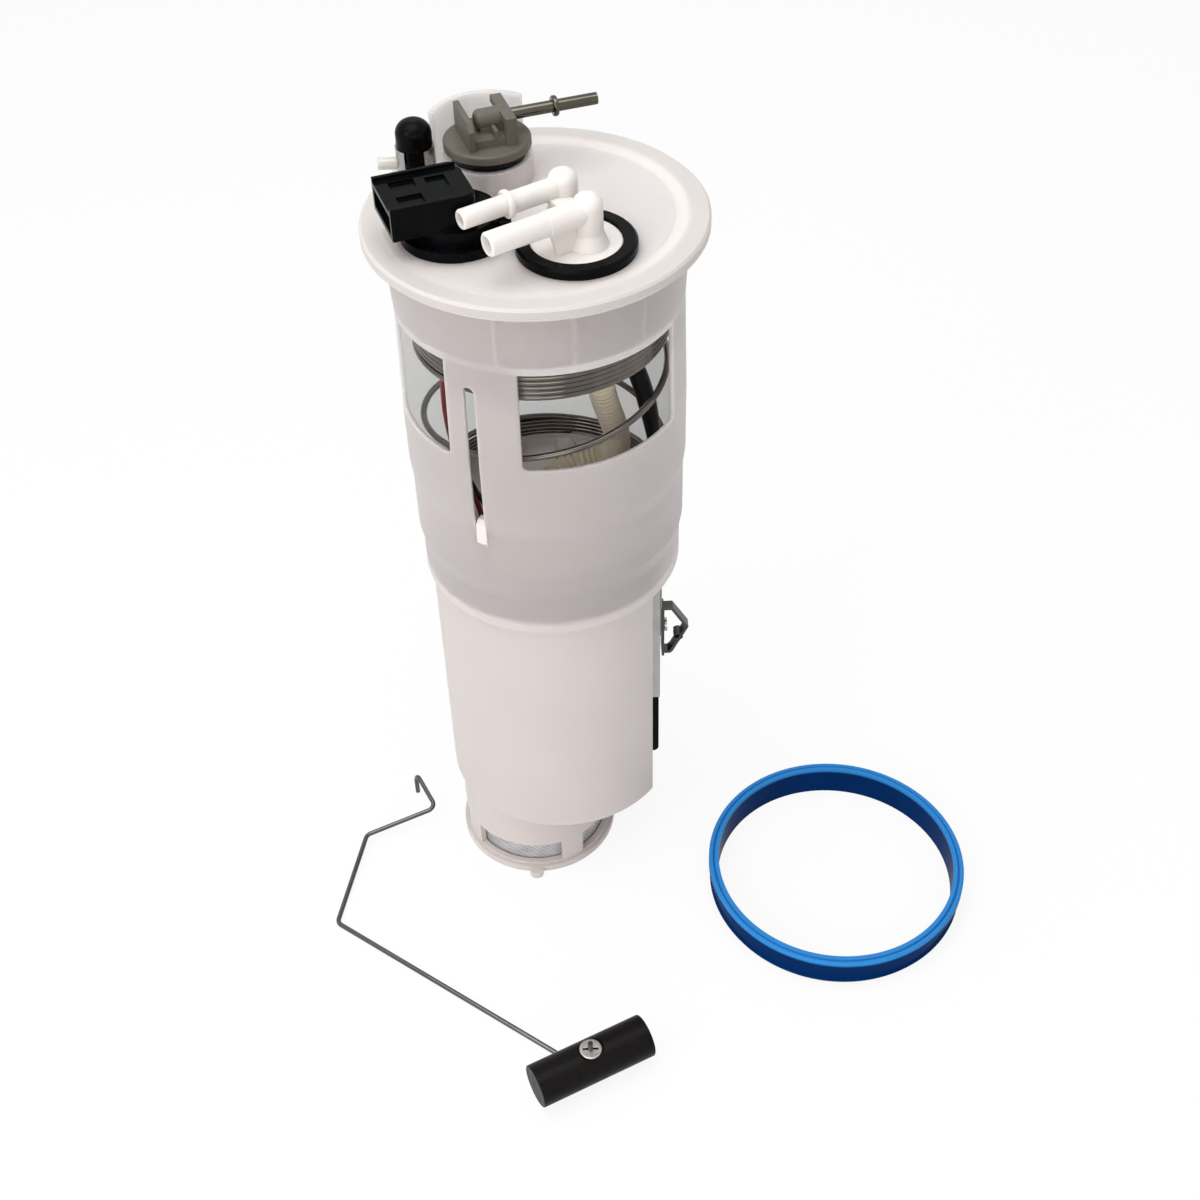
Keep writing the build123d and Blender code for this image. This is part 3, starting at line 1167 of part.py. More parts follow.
def resistor_card():
    """Ceramic track card on the channel's face."""
    face = sender_face()
    return block((face, -CARD_WIDTH / 2, CARD_BOTTOM), (face + CARD_THICKNESS, CARD_WIDTH / 2, CARD_TOP))


def clip_inner():
    """Inner face of the rotor clip's base plate."""
    return sender_face() + CLIP_STANDOFF


def sender_pivot_pin():
    """Shouldered pin that carries the rotor clip."""
    face = sender_face()
    clip_face = clip_inner() + CLIP_SHEET
    profile = [
        (0, FLAT_X + 1),
        (PIVOT_RADIUS, FLAT_X + 1),
        (PIVOT_RADIUS, face),
        (PIVOT_SHOULDER, face),
        (PIVOT_SHOULDER, clip_inner() - SEAT_GAP / 2),
        (PIVOT_RADIUS, clip_inner() - SEAT_GAP / 2),
        (PIVOT_RADIUS, clip_face + SEAT_GAP),
        (PIVOT_SHOULDER, clip_face + SEAT_GAP),
        (PIVOT_SHOULDER, clip_face + SEAT_GAP + PIVOT_HEAD),
        (0, clip_face + SEAT_GAP + PIVOT_HEAD),
    ]
    return Pos(0, 0, PIVOT_Z) * Rot(0, 90, 0) * turned(profile)


def sender_clip():
    """Formed steel rotor: base plate, bowed bridge and a curl that grips the float arm."""
    inner = clip_inner()
    outer = inner + CLIP_SHEET
    half = CLIP_WIDTH / 2
    base = block((inner, -half, -CLIP_BELOW), (outer, half, CLIP_ABOVE))
    base -= Pos(inner, 0, 0) * Rot(0, 90, 0) * Cylinder(PIVOT_RADIUS + RUNNING_GAP, 4 * CLIP_SHEET)
    knee = inner + CLIP_KNEE
    tip = inner + CLIP_REACH
    outside = [(inner, CLIP_ABOVE), (knee, CLIP_ABOVE), (tip, 0), (knee, -CLIP_BELOW + CLIP_SHEET)]
    outside += [(knee - CLIP_SHEET, -CLIP_BELOW), (inner, -CLIP_BELOW)]
    inside = [
        (inner, -CLIP_BELOW + CLIP_SHEET),
        (knee - 2 * CLIP_SHEET, -CLIP_BELOW + CLIP_SHEET),
        (knee - CLIP_SHEET, -CLIP_BELOW + 2 * CLIP_SHEET),
        (tip - 1.4 * CLIP_SHEET, 0),
        (knee - 0.7 * CLIP_SHEET, CLIP_ABOVE - CLIP_SHEET),
        (inner, CLIP_ABOVE - CLIP_SHEET),
    ]
    face = make_face(Polyline(*[(x, 0, z) for x, z in outside + inside], close=True))
    bridge = extrude(face, CLIP_STRAP_WIDTH / 2, both=True)
    curl_x = (knee + tip) / 2 - CURL_RADIUS / 2
    curl_z = -CLIP_BELOW / 2 + CURL_RADIUS
    bar = Cylinder(CURL_RADIUS, CLIP_STRAP_WIDTH) - Cylinder(CURL_RADIUS - CLIP_SHEET * 0.7, CLIP_STRAP_WIDTH)
    curl = Pos(curl_x, 0, curl_z) * Rot(90, 0, 0) * bar
    mouth = CURL_RADIUS * 0.45
    curl -= block((curl_x - 2 * CURL_RADIUS, -half, curl_z - mouth), (curl_x, half, curl_z + mouth))
    return Pos(0, 0, PIVOT_Z) * (base + bridge + curl)


def wiper():
    """Spring finger under the clip that runs over the card."""
    inner = clip_inner()
    low = PIVOT_Z + PIVOT_SHOULDER + SEAT_GAP
    return block((inner - WIPER_THICKNESS, -WIPER_WIDTH / 2, low), (inner, WIPER_WIDTH / 2, WIPER_TOP))


def float_levels():
    """Heights of the float's axis and of the seat for its retainer."""
    axis = 2 * ROD_RADIUS + SEAT_GAP + FLOAT_RADIUS
    return axis, axis + FLOAT_RADIUS - FLOAT_SPOT_DEPTH


def float_rod():
    """Bent wire from its hooked tip to the upright end in the float."""
    seat = float_levels()[1]
    end = seat + SEAT_GAP + RETAINER_THICKNESS + ROD_END_RISE
    route = [
        ROD_TIP,
        ROD_HOOK,
        ROD_KNEE,
        ROD_ELBOW,
        (*ROD_HEEL, ROD_RADIUS),
        (*FLOAT_AT, ROD_RADIUS),
        (*FLOAT_AT, end),
    ]
    radii = [min(ROD_BEND, radius) for radius in bend_radii(route)]
    radii[-1] = 2 * ROD_RADIUS
    return tube_along(route, radii, ROD_RADIUS)


def arm_float():
    """Cylindrical float with a cross bore and two flat spots."""
    axis, seat = float_levels()
    body = Rot(0, 90, 0) * Cylinder(FLOAT_RADIUS, FLOAT_LENGTH)
    body = fillet(body.edges().filter_by(GeomType.CIRCLE), 0.6)
    body -= Cylinder(ROD_RADIUS + FLOAT_BORE_GAP, 4 * FLOAT_RADIUS)
    body -= disc(FLOAT_SPOT_RADIUS, seat - axis, FLOAT_RADIUS + 1)
    body -= disc(FLOAT_SPOT_RADIUS, -FLOAT_RADIUS - 1, axis - seat)
    return Pos(*FLOAT_AT, axis) * Rot(0, 0, FLOAT_DEG) * body


def float_retainer():
    """Slotted push nut on the end of the rod."""
    seat = float_levels()[1] + SEAT_GAP
    nut = disc(RETAINER_RADIUS, seat, seat + RETAINER_THICKNESS)
    nut = fillet(nut.edges().group_by(Axis.Z)[-1], 0.5)
    nut -= disc(ROD_RADIUS + 0.02, seat, seat + RETAINER_THICKNESS)
    half = RETAINER_SLOT / 2
    reach = RETAINER_RADIUS * 0.7
    nut -= block((-reach, -half, seat), (reach, half, seat + RETAINER_THICKNESS))
    return Pos(*FLOAT_AT, 0) * nut


def tank_seal():
    """Grooved rubber ring that seals the flange in the tank's neck."""
    lip_low = SEAL_RING_HEIGHT - SEAL_LIP_HEIGHT
    middle = (SEAL_BORE_RADIUS + SEAL_LIP_RADIUS) / 2
    profile = [
        (SEAL_BORE_RADIUS, 0),
        (SEAL_WALL_RADIUS, 0),
        (SEAL_WALL_RADIUS + 1.0, 2.0),
        (SEAL_WALL_RADIUS, 4.0),
        (SEAL_WALL_RADIUS, lip_low - 2),
        (SEAL_LIP_RADIUS, lip_low),
        (SEAL_LIP_RADIUS, SEAL_RING_HEIGHT - 0.8),
        (SEAL_LIP_RADIUS - 0.8, SEAL_RING_HEIGHT),
        (middle + SEAL_GROOVE / 2, SEAL_RING_HEIGHT),
        (middle, SEAL_RING_HEIGHT - SEAL_GROOVE),
        (middle - SEAL_GROOVE / 2, SEAL_RING_HEIGHT),
        (SEAL_BORE_RADIUS, SEAL_RING_HEIGHT),
    ]
    return turned(profile, SEAL_AT)


PARTS = {
    "housing": housing,
    "connector_body": connector_body,
    "connector_terminals": connector_terminals,
    "connector_seal": connector_seal,
    "rollover_valve": rollover_valve,
    "vapour_tube": vapour_tube,
    "rollover_grommet": rollover_grommet,
    "rollover_retainer": rollover_retainer,
    "rollover_float": rollover_float,
    "vent_fitting": vent_fitting,
    "vent_cap": vent_cap,
    "vent_tube": vent_tube,
    "port_cap": port_cap,
    "filter_grommet": filter_grommet,
    "filter_can": filter_can,
    "filter_element": filter_element,
    "pressure_regulator": pressure_regulator,
    "compression_spring": compression_spring,
    "fuel_hose": fuel_hose,
    "sender_harness": sender_harness,
    "pump_lead_red": lambda: pump_lead(-1.8),
    "pump_lead_black": lambda: pump_lead(1.8),
    "reservoir": reservoir,
    "fill_valve": fill_valve,
    "reservoir_cover": reservoir_cover,
    "cover_nipple": cover_nipple,
    "outlet_elbow": outlet_elbow,
    "pump_case": pump_case,
    "pump_inlet_cap": pump_inlet_cap,
    "pump_outlet_cap": pump_outlet_cap,
    "pump_isolator": pump_isolator,
    "pump_magnets": pump_magnets,
    "pump_armature": pump_armature,
    "pump_impeller": pump_impeller,
    "pump_brushes": pump_brushes,
    "strainer_frame": strainer_frame,
    "strainer_screen": strainer_screen,
    "sender_bracket": sender_bracket,
    "sender_body": sender_body,
    "resistor_card": resistor_card,
    "sender_pivot_pin": sender_pivot_pin,
    "sender_clip": sender_clip,
    "wiper": wiper,
    "float_rod": float_rod,
    "arm_float": arm_float,
    "float_retainer": float_retainer,
    "tank_seal": tank_seal,
}

os.makedirs("parts", exist_ok=True)
for name, make in PARTS.items():
    export_step(make(), f"parts/{name}.step")
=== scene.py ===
import json
import math

import bpy
from mathutils import Matrix, Vector


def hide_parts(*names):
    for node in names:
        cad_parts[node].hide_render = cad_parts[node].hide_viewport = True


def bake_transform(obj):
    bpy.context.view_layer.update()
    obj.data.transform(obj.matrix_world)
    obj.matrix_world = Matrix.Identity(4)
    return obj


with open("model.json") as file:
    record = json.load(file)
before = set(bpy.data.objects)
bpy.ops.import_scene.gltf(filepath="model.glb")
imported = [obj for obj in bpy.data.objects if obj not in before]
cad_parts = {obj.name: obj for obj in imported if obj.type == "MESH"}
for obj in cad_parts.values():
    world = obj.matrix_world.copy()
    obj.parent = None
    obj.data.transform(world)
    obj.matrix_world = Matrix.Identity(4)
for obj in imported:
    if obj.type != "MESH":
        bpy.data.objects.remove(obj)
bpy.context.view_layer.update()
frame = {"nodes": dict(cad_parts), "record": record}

MM = 0.001

# Camera, from the photograph's perspective
FOCAL_PX = 1702.96
FRAME_PX = 1200.0
SENSOR_MM = 36.0
CAMERA_AT = Vector((7.53, -598.09, 710.02)) * MM
PITCH_DEG = 43.36
ROLL_DEG = 1.673
YAW_DEG = 1.316
CLIP_END = 10.0

# Surroundings: warm white, brighter on the left than on the right
WORLD_COLOUR = (1.0, 0.955, 0.945, 1)
WORLD_LEFT = 0.74
WORLD_RIGHT = 0.32
WHITE = (1, 1, 1, 1)

# Floor, in metres, and the share of plain white that hides most of its shading
FLOOR_HALF = 4.0
FLOOR_LEVEL = -0.0002
FLOOR_COLOUR = (0.93, 0.93, 0.94, 1)
FLOOR_WHITE = 0.88

# Lamps: name, place and aim in metres, size, power and colour
LAMPS = (
    ("overhead", (-0.15, -0.1, 1.7), (0.0, 0.0, 0.2), 1.3, 16.2, (0.95, 0.985, 0.975)),
    ("key", (-0.9, -0.9, 1.1), (0.0, 0.0, 0.2), 0.7, 5.4, (1.0, 0.95, 0.93)),
    ("front", (0.0, -1.3, 0.45), (0.0, 0.0, 0.12), 0.7, 3.6, (1.0, 0.95, 0.93)),
)

# Noise that every finish shares
MOTTLE_DETAIL = 4.0
MOTTLE_SPAN = (0.32, 0.68)
GLOSS_SPAN = (0.3, 0.7)
BUMP_DETAIL = 3.0
BUMP_DEPTH = 0.3
EDGE_SAMPLES = 4
CREASE_DEG = 32.0

# Strainer cloth: bands of its two threads, and how much light it stops
WEAVE = (("Z", 260.0), ("DIAGONAL", 200.0))
WEAVE_COVER = (0.55, 1.0)

# Heights over which the tank seal turns paler, in millimetres: painted light on the upper lip, above a wall kept
# darker as painted shade
SEAL_LIT_SPAN = (14.6, 16.2)
SEAL_PAINTED_LIGHT = (0.035, 0.245, 0.63, 1)

# Where the housing is dense: lip by radius and height, and lower edge by height, in millimetres; the lower edge is
# also painted darker as a shadow line
LIP_SPAN = (54.0, 63.0)
FLANGE_SPAN = (350.0, 352.0)
# Lower edge: denser plastic, and painted shade as a dark line along the edge
SKIRT_SHADE_EDGE = (189.0, 184.0)
THIN_SCATTER = 0.025
DENSE_SCATTER = 0.002
# Colour of the denser plastic, which at the lower edge is also painted shade
DENSE_AND_SHADED_WHITE = (0.635, 0.605, 0.59, 1)

# White pieces with a dark hollow behind them, which let no light through; the cover, filter can and port cap take
# lighter copies of this white as painted light
BACKED_WHITE = {
    "reservoir": "white_backed",
    "strainer_frame": "white_backed",
    "filter_can": "white_painted_bright",
    "reservoir_cover": "white_painted_bright",
    "port_cap": "white_cap_painted_bright",
}

# Spring, in millimetres, between the reservoir cover and the seat in the housing
COVER_TOP = 206.6
SEAT_LEVEL = 322.3
SPRING_RADIUS = 52.9
SPRING_WIRE = 2.8
SPRING_BOTTOM_TURNS = 4
SPRING_TOP_TURNS = 6
SPRING_OPEN_TURNS = 2.5
SPRING_START_DEG = 78.0
SPRING_GAP = 0.3
SPRING_EASE = 0.55
SPRING_STEPS = 72
SPRING_SIDES = 14

# Hose from the filter's barb to the pump's elbow, in millimetres
HOSE_ROUTE = (
    (22.0, -19.0, 327.3), (22.0, -19.0, 310.8), (24.0, -7.0, 273.9), (32.5, 9.0, 237.3),
    (30.0, 22.0, 216.0), (8.0, 19.5, 213.6), (0.5, 10.4, 213.0), (-11.3, -5.4, 213.0),
)
HOSE_STEP = 0.42
HOSE_RADIUS = 5.1
HOSE_RIPPLE = 0.85
HOSE_SQUARENESS = 1.6
HOSE_PITCH = 2.9
HOSE_CUFF = 9.0
HOSE_CUFF_RADIUS = 5.5
HOSE_SIDES = 28

# Harness and leads, in millimetres; the two leads lie side by side
HARNESS_ROUTE = (
    (-24.0, -9.0, 341.6), (-24.0, -9.0, 330.6), (2.0, 8.0, 322.3), (29.0, 2.0, 304.7),
    (41.5, 0.5, 276.9), (47.9, 0.0, 243.2), (47.9, 0.0, 225.0), (47.9, 0.0, 166.0),
)
HARNESS_SLIM = 3.1
HARNESS_FULL = 4.2
HARNESS_SWELLS = (240.0, 262.0)
LEAD_UPPER_RUN = (
    (-39.0, -14.0, 341.6), (-39.0, -14.0, 316.4), (-43.0, -12.0, 285.7),
    (-42.0, -11.0, 256.4), (-35.0, -14.0, 231.5),
)
LEAD_LOWER_RUN = ((-29.0, -17.0, 219.1), (-29.0, -17.0, 211.1))
LEAD_RADIUS = 1.2
LEADS = (
    ("lead_red", "pump_lead_red", "red_lead", -1.8),
    ("lead_black", "pump_lead_black", "harness_sleeve", 1.8),
)
WIRE_STEP = 1.2
WIRE_SIDES = 16
SPLINE_ORDER = 3
SPLINE_RESOLUTION = 24


def place_camera():
    """Camera at the photograph's place, tilt and focal length."""
    pitch, roll, yaw = (math.radians(v) for v in (PITCH_DEG, ROLL_DEG, YAW_DEG))
    level = math.cos(pitch)
    ahead = Vector((math.sin(yaw) * level, math.cos(yaw) * level, -math.sin(pitch)))
    right = ahead.cross(Vector((0, 0, 1))).normalized()
    down = ahead.cross(right)
    right_rolled = math.cos(roll) * right + math.sin(roll) * down
    down_rolled = -math.sin(roll) * right + math.cos(roll) * down
    turn = Matrix((right_rolled, -down_rolled, -ahead)).transposed().to_4x4()
    data = bpy.data.cameras.new("camera")
    data.sensor_width = SENSOR_MM
    data.lens = FOCAL_PX / FRAME_PX * SENSOR_MM
    data.clip_end = CLIP_END
    camera = bpy.data.objects.new("camera", data)
    camera.matrix_world = Matrix.Translation(CAMERA_AT) @ turn
    bpy.context.scene.collection.objects.link(camera)
    bpy.context.scene.camera = camera


def area_light(name, at, aim, size, power, colour):
    """Soft square lamp that faces a point."""
    data = bpy.data.lights.new(name, "AREA")
    data.size = size
    data.energy = power
    data.color = colour
    lamp = bpy.data.objects.new(name, data)
    lamp.location = at
    lamp.rotation_euler = (Vector(aim) - Vector(at)).to_track_quat("-Z", "Y").to_euler()
    bpy.context.scene.collection.objects.link(lamp)


def join_math(tree, operation, first, second):
    """One math node of two sockets."""
    node = tree.nodes.new("ShaderNodeMath")
    node.operation = operation
    tree.links.new(first, node.inputs[0])
    tree.links.new(second, node.inputs[1])
    return node.outputs[0]


def map_range(tree, source, start, end, low=0.0, high=1.0):
    """Maps a value from between start and end to between low and high."""
    node = tree.nodes.new("ShaderNodeMapRange")
    node.inputs["From Min"].default_value = start
    node.inputs["From Max"].default_value = end
    node.inputs["To Min"].default_value = low
    node.inputs["To Max"].default_value = high
    tree.links.new(source, node.inputs["Value"])
    return node.outputs[0]


def mix_colour(tree, share, first, second):
    """Colour socket that goes over to a second colour by a share."""
    node = tree.nodes.new("ShaderNodeMix")
    node.data_type = "RGBA"
    tree.links.new(share, node.inputs["Factor"])
    tree.links.new(first, node.inputs["A"])
    node.inputs["B"].default_value = second
    return node.outputs["Result"]


def object_axes(tree):
    """Node with the X, Y and Z of a point in the piece's own frame."""
    coords = tree.nodes.new("ShaderNodeTexCoord")
    split = tree.nodes.new("ShaderNodeSeparateXYZ")
    tree.links.new(coords.outputs["Object"], split.inputs[0])
    return split


def mix_shader(tree, first, second):
    """Mix of two shaders, with its share left to set."""
    mix = tree.nodes.new("ShaderNodeMixShader")
    tree.links.new(first, mix.inputs[1])
    tree.links.new(second, mix.inputs[2])
    return mix


def seen_white(tree, lit, white):
    """Shows white to the eye, in gloss and through clear plastic, and the lit shader to other rays."""
    path = tree.nodes.new("ShaderNodeLightPath")
    mirrored = join_math(tree, "MAXIMUM", path.outputs["Is Glossy Ray"], path.outputs["Is Transmission Ray"])
    mix = mix_shader(tree, lit, white)
    tree.links.new(join_math(tree, "MAXIMUM", path.outputs["Is Camera Ray"], mirrored), mix.inputs[0])
    return mix.outputs[0]


def surroundings():
    """White surroundings that light the object more from the left."""
    world = bpy.data.worlds.new("studio")
    bpy.context.scene.world = world
    world.use_nodes = True
    tree = world.node_tree
    tree.nodes.clear()
    soft = tree.nodes.new("ShaderNodeBackground")
    soft.inputs["Color"].default_value = WORLD_COLOUR
    coords = tree.nodes.new("ShaderNodeTexCoord")
    split = tree.nodes.new("ShaderNodeSeparateXYZ")
    tree.links.new(coords.outputs["Generated"], split.inputs[0])
    from_left = map_range(tree, split.outputs["X"], -1.0, 1.0, WORLD_LEFT, WORLD_RIGHT)
    tree.links.new(from_left, soft.inputs["Strength"])
    white = tree.nodes.new("ShaderNodeBackground")
    white.inputs["Color"].default_value = WHITE
    out = tree.nodes.new("ShaderNodeOutputWorld")
    tree.links.new(seen_white(tree, soft.outputs[0], white.outputs[0]), out.inputs["Surface"])


def floor_paper():
    """Pale paper that shows nearly white and keeps a faint shadow."""
    paper = bpy.data.materials.new("floor_paper")
    paper.use_nodes = True
    tree = paper.node_tree
    tree.nodes.clear()
    diffuse = tree.nodes.new("ShaderNodeBsdfDiffuse")
    diffuse.inputs["Color"].default_value = FLOOR_COLOUR
    glow = tree.nodes.new("ShaderNodeEmission")
    glow.inputs["Color"].default_value = WHITE
    half_white = mix_shader(tree, diffuse.outputs[0], glow.outputs[0])
    half_white.inputs[0].default_value = FLOOR_WHITE
    out = tree.nodes.new("ShaderNodeOutputMaterial")
    shown = seen_white(tree, diffuse.outputs[0], half_white.outputs[0])
    tree.links.new(shown, out.inputs["Surface"])
    return paper


def studio():
    """Pale floor, white surroundings and soft lamps."""
    scene = bpy.context.scene
    scene.view_settings.view_transform = "Standard"
    surroundings()
    corners = ((-1, -1), (1, -1), (1, 1), (-1, 1))
    mesh = bpy.data.meshes.new("floor")
    mesh.from_pydata([(x * FLOOR_HALF, y * FLOOR_HALF, FLOOR_LEVEL) for x, y in corners], [], [(0, 1, 2, 3)])
    mesh.materials.append(floor_paper())
    floor = bpy.data.objects.new("floor", mesh)
    scene.collection.objects.link(floor)
    for lamp in LAMPS:
        area_light(*lamp)


def noise(tree, coords, scale, detail):
    """Noise texture in the piece's own frame."""
    node = tree.nodes.new("ShaderNodeTexNoise")
    node.inputs["Scale"].default_value = scale
    node.inputs["Detail"].default_value = detail
    tree.links.new(coords.outputs["Object"], node.inputs["Vector"])
    return node.outputs["Fac"]


def finish(name, light, dark, grain=90.0, rough=(0.35, 0.5), metal=0.0, bump=0.06, bump_grain=900.0, edge=0.4,
           **sockets):
    """Procedural surface: mottled colour, uneven gloss, fine bump and edges softened by a radius in millimetres."""
    material = bpy.data.materials.new(name)
    material.use_nodes = True
    tree = material.node_tree
    shader = tree.nodes["Principled BSDF"]
    coords = tree.nodes.new("ShaderNodeTexCoord")
    mottle = noise(tree, coords, grain, MOTTLE_DETAIL)
    ramp = tree.nodes.new("ShaderNodeValToRGB")
    for element, position, colour in zip(ramp.color_ramp.elements, MOTTLE_SPAN, (dark, light)):
        element.position = position
        element.color = (*colour, 1)
    tree.links.new(mottle, ramp.inputs["Fac"])
    tree.links.new(ramp.outputs["Color"], shader.inputs["Base Color"])
    tree.links.new(map_range(tree, mottle, *GLOSS_SPAN, *rough), shader.inputs["Roughness"])
    relief = tree.nodes.new("ShaderNodeBump")
    relief.inputs["Strength"].default_value = bump
    relief.inputs["Distance"].default_value = BUMP_DEPTH * MM
    tree.links.new(noise(tree, coords, bump_grain, BUMP_DETAIL), relief.inputs["Height"])
    if edge:
        soft = tree.nodes.new("ShaderNodeBevel")
        soft.samples = EDGE_SAMPLES
        soft.inputs["Radius"].default_value = edge * MM
        tree.links.new(soft.outputs[0], relief.inputs["Normal"])
    tree.links.new(relief.outputs[0], shader.inputs["Normal"])
    shader.inputs["Metallic"].default_value = metal
    for socket, value in sockets.items():
        shader.inputs[socket.replace("_", " ")].default_value = value
    return material


def mesh_cloth(name):
    """Fine woven strainer mesh, partly see-through."""
    material = finish(name, (0.62, 0.62, 0.63), (0.42, 0.42, 0.44), grain=140, rough=(0.4, 0.6), bump=0.3, edge=0)
    tree = material.node_tree
    shader = tree.nodes["Principled BSDF"]
    coords = tree.nodes.new("ShaderNodeTexCoord")
    threads = []
    for direction, scale in WEAVE:
        wave = tree.nodes.new("ShaderNodeTexWave")
        wave.bands_direction = direction
        wave.inputs["Scale"].default_value = scale
        tree.links.new(coords.outputs["Object"], wave.inputs["Vector"])
        threads.append(wave.outputs["Fac"])
    woven = join_math(tree, "MAXIMUM", *threads)
    tree.links.new(map_range(tree, woven, 0.0, 1.0, *WEAVE_COVER), shader.inputs["Alpha"])
    return material


def share_between(tree, source, start, end):
    """Share from 0 to 1 of a length between two values in millimetres."""
    return map_range(tree, source, start * MM, end * MM)


def seal_rubber(name):
    """Blue rubber with painted light on the upper lip and painted shade on the wall below it."""
    # Wall blues, darkened as painted shade below the lip
    material = finish(name, (0.0003, 0.026, 0.124), (0.0003, 0.021, 0.104), grain=45, rough=(0.26, 0.36), bump=0.06,
                      Specular_IOR_Level=0.01)
    tree = material.node_tree
    colour = tree.nodes["Principled BSDF"].inputs["Base Color"]
    lip = share_between(tree, object_axes(tree).outputs["Z"], *SEAL_LIT_SPAN)
    # Painted light: the lip goes over to the paler blue
    tree.links.new(mix_colour(tree, lip, colour.links[0].from_socket, SEAL_PAINTED_LIGHT), colour)
    return material


def housing_white(name):
    """White plastic that lets light through the cage's thin walls, and less through the lip and the lower edge, which
    is also painted darker as a shadow line.
    """
    material = finish(name, (0.985, 0.895, 0.86), (0.97, 0.88, 0.845), grain=22, rough=(0.36, 0.46), bump=0.0, edge=0,
                      Subsurface_Weight=1.0, Subsurface_Radius=(0.89, 1.0, 1.0))
    tree = material.node_tree
    shader = tree.nodes["Principled BSDF"]
    colour = shader.inputs["Base Color"]
    axes = object_axes(tree)
    flat = tree.nodes.new("ShaderNodeCombineXYZ")
    tree.links.new(axes.outputs["X"], flat.inputs["X"])
    tree.links.new(axes.outputs["Y"], flat.inputs["Y"])
    reach = tree.nodes.new("ShaderNodeVectorMath")
    reach.operation = "LENGTH"
    tree.links.new(flat.outputs[0], reach.inputs[0])
    lip = join_math(tree, "MULTIPLY", share_between(tree, reach.outputs["Value"], *LIP_SPAN),
                    share_between(tree, axes.outputs["Z"], *FLANGE_SPAN))
    dense_and_shaded = join_math(tree, "MAXIMUM", lip, share_between(tree, axes.outputs["Z"], *SKIRT_SHADE_EDGE))
    scatter = map_range(tree, dense_and_shaded, 0.0, 1.0, THIN_SCATTER, DENSE_SCATTER)
    tree.links.new(scatter, shader.inputs["Subsurface Scale"])
    # Painted shade at the lower edge: the dense colour is darker than the thin walls
    tree.links.new(mix_colour(tree, dense_and_shaded, colour.links[0].from_socket, DENSE_AND_SHADED_WHITE), colour)
    return material


